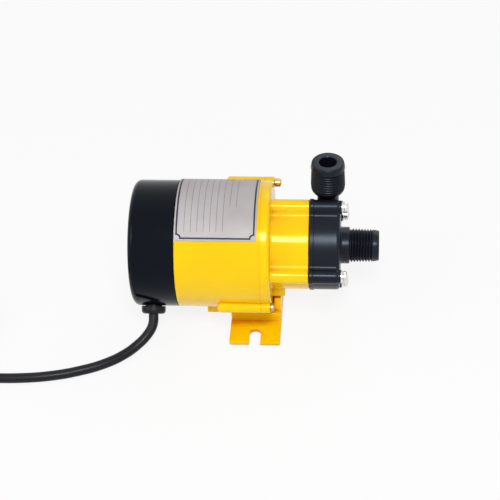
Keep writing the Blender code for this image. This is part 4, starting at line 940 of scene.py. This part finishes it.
def spring_washer(at, inner, outer, thick, rise):
    """Make a split washer whose ends stand apart, on the X axis."""
    rings = []
    for step in range(49):
        share = step / 48
        angle = math.radians(8 + 344 * share)
        x = rise * share
        ring = []
        for dx, r in ((0, inner), (0, outer), (thick, outer), (thick, inner)):
            ring.append((x + dx, r * math.cos(angle), r * math.sin(angle)))
        rings.append(ring)
    return lofted(rings, at)


for angle, place in zip(LOBE_ANGLES, HEAD_NAMES):
    washer_low, washer_high = in_mm(f"head_washer_{place}")
    at = at_angle(angle, LOBE_CIRCLE_R)
    flat = turned([(washer_low.x - 0.25, 2.0), (washer_low.x - 0.25, 4.0), (washer_low.x - 0.15, 4.1),
                   (washer_low.x + 0.35, 4.1), (washer_low.x + 0.45, 4.0), (washer_low.x + 0.45, 2.0)],
                  56, at)
    finish(f"flat_washer_{place}", flat, zinc, [f"head_washer_{place}"])
    spring_at = (washer_low.x + 0.5, at[1], at[2])
    finish(f"spring_washer_{place}", spring_washer(spring_at, 1.95, 3.35, 0.75, 0.28), zinc)
    seat = (washer_high.x + GAP, at[1], at[2])
    made = headed_screw(seat, (-1, 0, 0), *PAN_SCREW, cross_recess(0.9, 1.9, 1.7))
    finish(f"pan_screw_{place}", made, zinc, [f"head_screw_{place}"])

for angle, (place, height) in zip(BOLT_ANGLES, CHEESE_HEADS):
    seat = at_angle(angle, BOLT_CIRCLE_R, FLANGE_FRONT + 0.1)
    made = headed_screw(seat, (-1, 0, 0), 2.7, height, 1.7, 26.0, 0.9, slot_recess(0.8, 3.4, 1.1))
    finish(f"cheese_bolt_{place}", made, brass, [f"housing_bolt_{place}"])

for x, place in zip(FOOT_BOLT_X, ("rear", "front")):
    made = headed_screw((x, 0, 2.6), (0, 0, 1), *FOOT_BOLT, cross_recess(0.9, 1.9, 1.4))
    finish(f"foot_bolt_{place}", made, zinc, [f"foot_screw_{place}"])

for side, place in ((-1, "near"), (1, "far")):
    seat = (cover_low.x + POCKET_DEPTH - GAP, side * SCREW_Y, AXIS_Z)
    made = headed_screw(seat, (1, 0, 0), *COVER_BOLT, cross_recess(0.8, 1.6, 0.9))
    finish(f"cover_bolt_{place}", made, zinc, [f"cover_screw_{place}"])

# %% [markdown]
# ## Rating plate
# A thin printed aluminium foil is wrapped over the top of the motor. Ours carries a plain border with
# notched corners and some blank rules. The plate is a curved sheet with real thickness, and the
# print is worked out in the shader from the distance along the axis and round the curve,
# which keeps the lines sharp at any size and needs no picture.

# %% Rating plate
plate_low, plate_high = in_mm("label_plate")
PLATE_FAR, PLATE_NEAR = -38.6, 48.1
PLATE_R = MOTOR_R + GAP
PLATE_THICK = 0.4

# The print's sizes are in metres, since the shader reads the mesh as it stands in the scene
BORDER_INSET = 0.0015
BORDER_HALF_WIDTH = 0.0005
NOTCH_R = 0.0024
RULE_INSET = 0.004
RULE_SPACING = 0.0039
RULE_PHASE = 20.35
RULE_SHARE = 0.035
RULES_FROM, RULES_TO = -0.0195, 0.0125
SHORT_FROM, SHORT_BY = 0.0065, -0.017


def plate_body():
    rings = []
    steps = 72
    outer, inner = PLATE_R + PLATE_THICK, PLATE_R
    outline = [(outer, PLATE_FAR + (PLATE_NEAR - PLATE_FAR) * step / steps) for step in range(steps + 1)]
    outline += [(inner, angle) for _, angle in outline[::-1]]
    for x in (plate_low.x, plate_high.x):
        rings.append([at_angle(angle, radius, x) for radius, angle in outline])
    return lofted(rings)


def math_node(tree, operation, *values):
    made = node(tree, "Math", operation=operation)
    for socket, value in zip(made.inputs, values):
        if isinstance(value, bpy.types.NodeSocket):
            tree.links.new(value, socket)
        else:
            socket.default_value = value
    return made.outputs[0]


def make_print():
    material, tree, shader, place = new_finish("printed_foil", 0.45, 0.2, Specular_IOR_Level=0.2)
    def m(operation, *values):
        return math_node(tree, operation, *values)
    axes = node(tree, "SeparateXYZ", {"Vector": place}).outputs
    middle_x = (plate_low.x + plate_high.x) / 2 * MM
    middle_turn = math.radians((PLATE_FAR + PLATE_NEAR) / 2)
    along = m("SUBTRACT", axes["X"], middle_x)
    turn = m("ARCTAN2", m("MULTIPLY", axes["Y"], -1.0), m("SUBTRACT", axes["Z"], AXIS_Z * MM))
    across = m("MULTIPLY", m("SUBTRACT", turn, middle_turn), PLATE_R * MM)
    half_x = (plate_high.x - plate_low.x) / 2 * MM - BORDER_INSET
    half_s = math.radians(PLATE_NEAR - PLATE_FAR) / 2 * PLATE_R * MM - BORDER_INSET
    beyond_x = m("SUBTRACT", m("ABSOLUTE", along), half_x)
    beyond_s = m("SUBTRACT", m("ABSOLUTE", across), half_s)
    corner = m("SQRT", m("ADD", m("MULTIPLY", beyond_x, beyond_x), m("MULTIPLY", beyond_s, beyond_s)))
    notch = m("SUBTRACT", NOTCH_R, corner)
    frame_line = m("ABSOLUTE", m("MAXIMUM", m("MAXIMUM", beyond_x, beyond_s), notch))
    border = m("LESS_THAN", frame_line, BORDER_HALF_WIDTH)
    inside = m("LESS_THAN", m("MAXIMUM", beyond_x, beyond_s), -RULE_INSET)
    count = m("ADD", m("DIVIDE", along, RULE_SPACING), RULE_PHASE)
    stripe = m("ABSOLUTE", m("SUBTRACT", m("FRACT", count), 0.5))
    rule = m("LESS_THAN", stripe, RULE_SHARE)
    field = m("MULTIPLY", m("LESS_THAN", along, RULES_TO), m("GREATER_THAN", along, RULES_FROM))
    shorter = m("MULTIPLY", m("GREATER_THAN", along, SHORT_FROM), SHORT_BY)
    stop = m("LESS_THAN", across, m("ADD", half_s - 0.0035, shorter))
    rules = m("MULTIPLY", m("MULTIPLY", rule, field), m("MULTIPLY", inside, stop))
    ink = m("MAXIMUM", border, m("MULTIPLY", rules, 0.6))
    foil = mix(tree, spread(tree, noise(tree, place, 35.0, 3.0), 0.35, 0.7, 0.0, 1.0),
               (0.42, 0.385, 0.38), (0.48, 0.45, 0.46))
    brushed = noise(tree, place, 900.0, 3.0, (0.2, 1.0, 1.0))
    rough = m("SUBTRACT", spread(tree, brushed, 0.3, 0.7, 0.5, 0.62), m("MULTIPLY", ink, 0.1))
    raised = relief(tree, ink, 0.00003, relief(tree, brushed, 0.000004))
    link(tree, shader, mix(tree, ink, foil, (0.02, 0.022, 0.04)), rough, raised)
    tree.links.new(m("SUBTRACT", 0.22, m("MULTIPLY", ink, 0.22)), shader.inputs["Metallic"])
    return material


finish("rating_plate", plate_body(), make_print(), ["label_plate"])

# %% [markdown]
# ## Strain relief
# Where the lead enters the cover, a snap-in bush grips it and closes the hole. It shows as a flange
# with a rounded rim and a waist behind it that sits in the wall.

# %% Strain relief
GLAND_R = MOTOR_R + GAP
GLAND_FLANGE_R = 7.6
GLAND_THICK = 4.9


def gland_body():
    base, top = GLAND_R, GLAND_R + GLAND_THICK
    rim = arc((top - 2.2, GLAND_FLANGE_R - 2.2), 2.2, 90, 20, 8)
    profile = [(base - 7, 0), (base - 7, 4.2), (base - 6, 5.2), (base, 5.2), (base, GLAND_FLANGE_R - 0.4),
               (base + 0.4, GLAND_FLANGE_R), *rim, (top, GLAND_FLANGE_R - 2.6), (top, 4.3),
               (top - 0.5, LEAD_R + 0.15), (top - 2.5, LEAD_R + 0.15), (top - 2.5, 0)]
    return turned(profile, 96, (gland_x, 0, AXIS_Z), gland_way)


finish("strain_bush", gland_body(), lead_rubber, ["strain_relief"])

# %% [markdown]
# ## The mains lead
# The lead follows the route from above as one Bezier curve with automatic handles, which passes
# through every chosen point without kinks. Its bevel gives the round jacket.

# %% The mains lead
start = Vector((gland_x, 0, AXIS_Z)) + gland_way * (GLAND_R + GLAND_THICK - 2.2)
winding = coil_points()
tail_x, tail_y, tail_z = winding[-1]
tail = []
for share in (0.12, 0.3, 0.5, 0.7, 0.88, 1.0):
    drop = share**2 * (3 - 2 * share)
    tail.append((tail_x, tail_y + (TAIL_LENGTH + 1.0) * share, tail_z + (TAIL_Z - tail_z) * drop))
run_in = [(x, winding[0][1], LEAD_R) for x in (-176.0, -190.0, -202.0)]
lead_points = [tuple(start), *LEAD_ROUTE, *run_in, *winding, *tail]
lead_points = [Vector(point) * MM for point in lead_points]

curve = bpy.data.curves.new("mains_lead", "CURVE")
curve.dimensions = "3D"
curve.bevel_depth = LEAD_R * MM
curve.bevel_resolution = 8
curve.resolution_u = 8
curve.use_fill_caps = True
spline = curve.splines.new("BEZIER")
spline.bezier_points.add(len(lead_points) - 1)
for knot, point in zip(spline.bezier_points, lead_points):
    knot.co = point
    knot.handle_left_type = knot.handle_right_type = "AUTO"
curve.materials.append(lead_rubber)
lead = in_scene("mains_lead", curve)
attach(lead, "pump")
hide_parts("power_cord", "cord_coil", "cord_tail")

# %% [markdown]
# ## Mains plug
# The plug is moulded on the lead in the same rubber: a ribbed sleeve round the lead, a
# body that swells towards the finger grips, and two round pins with narrower necks.

# %% Mains plug
plug_low, plug_high = in_mm("mains_plug")
PLUG_SLEEVE = 16.0
PLUG_LENGTH = 34.0
PLUG_HALF_THICK = 7.0
PLUG_SECTIONS = ((0, 8.2, 5.6), (0.8, 9.2, 6.4), (6, 10.2, 6.9), (14, 10.6, 7.0),
                 (22, 11.8, 7.0), (29, 13.0, 7.0), (33.2, 13.0, 7.0), (34, 12.3, 6.3))
PIN_R = 2.0
PIN_LENGTH = 19.0
PIN_SPREAD = 9.5
plug_at = ((plug_low.x + plug_high.x) / 2, plug_low.y, PLUG_HALF_THICK)


def rounded_rectangle(half_w, half_t, corner):
    points = []
    for sx, sy, start in ((1, 1, 0), (-1, 1, 90), (-1, -1, 180), (1, -1, 270)):
        points += arc((sx * (half_w - corner), sy * (half_t - corner)), corner, start, start + 90, 6)
    return points


def plug_body():
    sleeve = [(0, 0), (0, LEAD_R + 0.6)]
    for index in range(5):
        x = 1.2 + index * 2.9
        sleeve += [(x, LEAD_R + 1.1 + index * 0.2), (x + 1.5, LEAD_R + 1.1 + index * 0.2),
                   (x + 1.8, LEAD_R + 0.5 + index * 0.2), (x + 2.6, LEAD_R + 0.5 + index * 0.2)]
    sleeve += [(PLUG_SLEEVE + 2, LEAD_R + 2), (PLUG_SLEEVE + 2, 0)]
    body = []
    for x, half_w, half_t in PLUG_SECTIONS:
        outline = rounded_rectangle(half_w, half_t, min(half_t - 0.2, 4.6))
        body.append([(PLUG_SLEEVE + x, y, z) for y, z in outline])
    return weld(lofted(body, plug_at, (0, 1, 0)), turned(sleeve, 64, plug_at, (0, 1, 0)))


def plug_pins():
    start, end = PLUG_SLEEVE + PLUG_LENGTH - 0.5, PLUG_SLEEVE + PLUG_LENGTH + PIN_LENGTH
    tip = arc((end - PIN_R * 0.9, PIN_R * 0.1), PIN_R * 0.9, 90, 0, 8)
    profile = [(start, 0), (start, PIN_R - 0.1), (start + 10, PIN_R - 0.1), (start + 10.2, PIN_R),
               *tip, (end, 0)]
    pins = []
    for side in (-1, 1):
        pins.append(turned(profile, 40, (plug_at[0] + side * PIN_SPREAD, plug_at[1], plug_at[2]), (0, 1, 0)))
    return pins


plug = finish("lead_plug", plug_body(), lead_rubber, ["mains_plug"])
for side, shape in zip(("left", "right"), plug_pins()):
    finish(f"plug_pin_{side}", shape, brass)

# %% [markdown]
# ## Inside the motor and the wet end
# The inner pieces have the right shapes in the CAD frame already, so they stay and only change
# their finish. Assigning to the object's own slots is enough.

# %% Inner finishes
INNER = {
    lamination: ("stator_core", "rotor_core"),
    copper_wire: ("stator_winding_front", "stator_winding_rear"),
    shaft_steel: ("motor_shaft", "front_bearing_inner_race", "front_bearing_outer_race",
                  "rear_bearing_inner_race", "rear_bearing_outer_race", "bearing_preload_washer",
                  "cup_set_screw"),
    zinc: ("drive_magnet_cup",),
    brass: ("front_bearing_ball_cage", "rear_bearing_ball_cage"),
    cast_aluminium: ("rear_end_shield",),
    inner_plastic: ("cooling_fan", "containment_can", "impeller", "magnet_cap"),
    ferrite: ("drive_magnet", "driven_magnet"),
    ceramic: ("spindle", "thrust_ring_front", "thrust_ring_rear"),
    carbon: ("impeller_bush",),
    seal_rubber: ("casing_o_ring",),
}
for material, names in INNER.items():
    for name in names:
        for index in range(len(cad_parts[name].material_slots)):
            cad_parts[name].material_slots[index].material = material
        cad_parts[name].data.set_sharp_from_angle(angle=math.radians(35))
print("inner pieces finished:", sum(len(names) for names in INNER.values()))

# %% [markdown]
# ## Floor and light
# The picture shows the pump cut out on white. The floor is a pale matt sheet that also glows white to
# the camera and in reflections, so it stays plain and still keeps a soft shadow. One large
# soft box hangs above the camera and draws the bright line along every cylinder, a second one
# fills from the left and a third from behind. The world is white to the camera, to reflections and
# through clear things, and gives an even pale light to everything else.

# %% Floor
floor_mesh = bpy.data.meshes.new("floor")
FLOOR_HALF = 3.0
floor_mesh.from_pydata([(-FLOOR_HALF, -FLOOR_HALF, 0), (FLOOR_HALF, -FLOOR_HALF, 0),
                        (FLOOR_HALF, FLOOR_HALF, 0), (-FLOOR_HALF, FLOOR_HALF, 0)], [], [(0, 1, 2, 3)])
floor = in_scene("floor", floor_mesh)
floor.location.z = -0.0002


def make_floor():
    material = bpy.data.materials.new("floor_sheet")
    material.use_nodes = True
    tree = material.node_tree
    tree.nodes.clear()
    rays = node(tree, "LightPath").outputs
    seen = math_node(tree, "MAXIMUM", rays["Is Camera Ray"], rays["Is Glossy Ray"])
    seen = math_node(tree, "MAXIMUM", seen, rays["Is Transmission Ray"])
    matt = node(tree, "BsdfDiffuse", {"Color": (0.86, 0.86, 0.86, 1.0)}).outputs[0]
    glow = node(tree, "Emission", {"Color": (1.0, 1.0, 1.0, 1.0), "Strength": 1.0}).outputs[0]
    blend = node(tree, "MixShader", {"Fac": math_node(tree, "MULTIPLY", seen, 0.86)})
    tree.links.new(matt, blend.inputs[1])
    tree.links.new(glow, blend.inputs[2])
    out = node(tree, "OutputMaterial")
    tree.links.new(blend.outputs[0], out.inputs["Surface"])
    return material


floor_mesh.materials.append(make_floor())

# %% World
world = bpy.data.worlds.new("studio")
bpy.context.scene.world = world
world.use_nodes = True
sky = world.node_tree
sky.nodes.clear()
rays = node(sky, "LightPath").outputs
up = node(sky, "SeparateXYZ", {"Vector": node(sky, "TexCoord").outputs["Generated"]}).outputs["Z"]
height = spread(sky, up, 0.0, 0.3, 0.0, 1.0)
even = mix(sky, height, (0.9, 0.9, 0.9), (0.34, 0.34, 0.35))
seen = math_node(sky, "MAXIMUM", rays["Is Camera Ray"], rays["Is Glossy Ray"])
seen = math_node(sky, "MAXIMUM", seen, rays["Is Transmission Ray"])
shown = mix(sky, seen, even, (1.0, 1.0, 1.0))
lit = node(sky, "Background", {"Color": shown, "Strength": 1.0})
out = node(sky, "OutputWorld")
sky.links.new(lit.outputs[0], out.inputs["Surface"])

# %% Lamps
def soft_box(name, place, target, size, power, colour=(1.0, 1.0, 1.0)):
    """Hang a rectangular lamp that points at a place."""
    data = bpy.data.lights.new(name, "AREA")
    data.shape = "RECTANGLE"
    data.size, data.size_y = size
    data.energy = power
    data.color = colour
    lamp = in_scene(name, data)
    lamp.location = place
    lamp.rotation_mode = "QUATERNION"
    lamp.rotation_quaternion = (Vector(target) - Vector(place)).to_track_quat("-Z", "Y")


def from_angles(azimuth, elevation, distance):
    """Give a place by its angles from the front and from the floor."""
    a, e = math.radians(azimuth), math.radians(elevation)
    return (distance * math.sin(a) * math.cos(e), -distance * math.cos(a) * math.cos(e),
            distance * math.sin(e) + 0.05)


soft_box("key_box", from_angles(9, 53, 1.3), (0, 0, 0.05), (0.4, 0.3), 9.5)
soft_box("fill_box", from_angles(-60, 35, 1.5), (0, 0, 0.05), (0.7, 0.7), 3.5)
soft_box("back_box", from_angles(160, 40, 1.6), (0, 0, 0.05), (0.9, 0.6), 3.0)

# %% [markdown]
# ## Closing
# The view transform stays Standard, so a colour renders about as it is written.

# %% Closing
bpy.context.scene.view_settings.view_transform = "Standard"
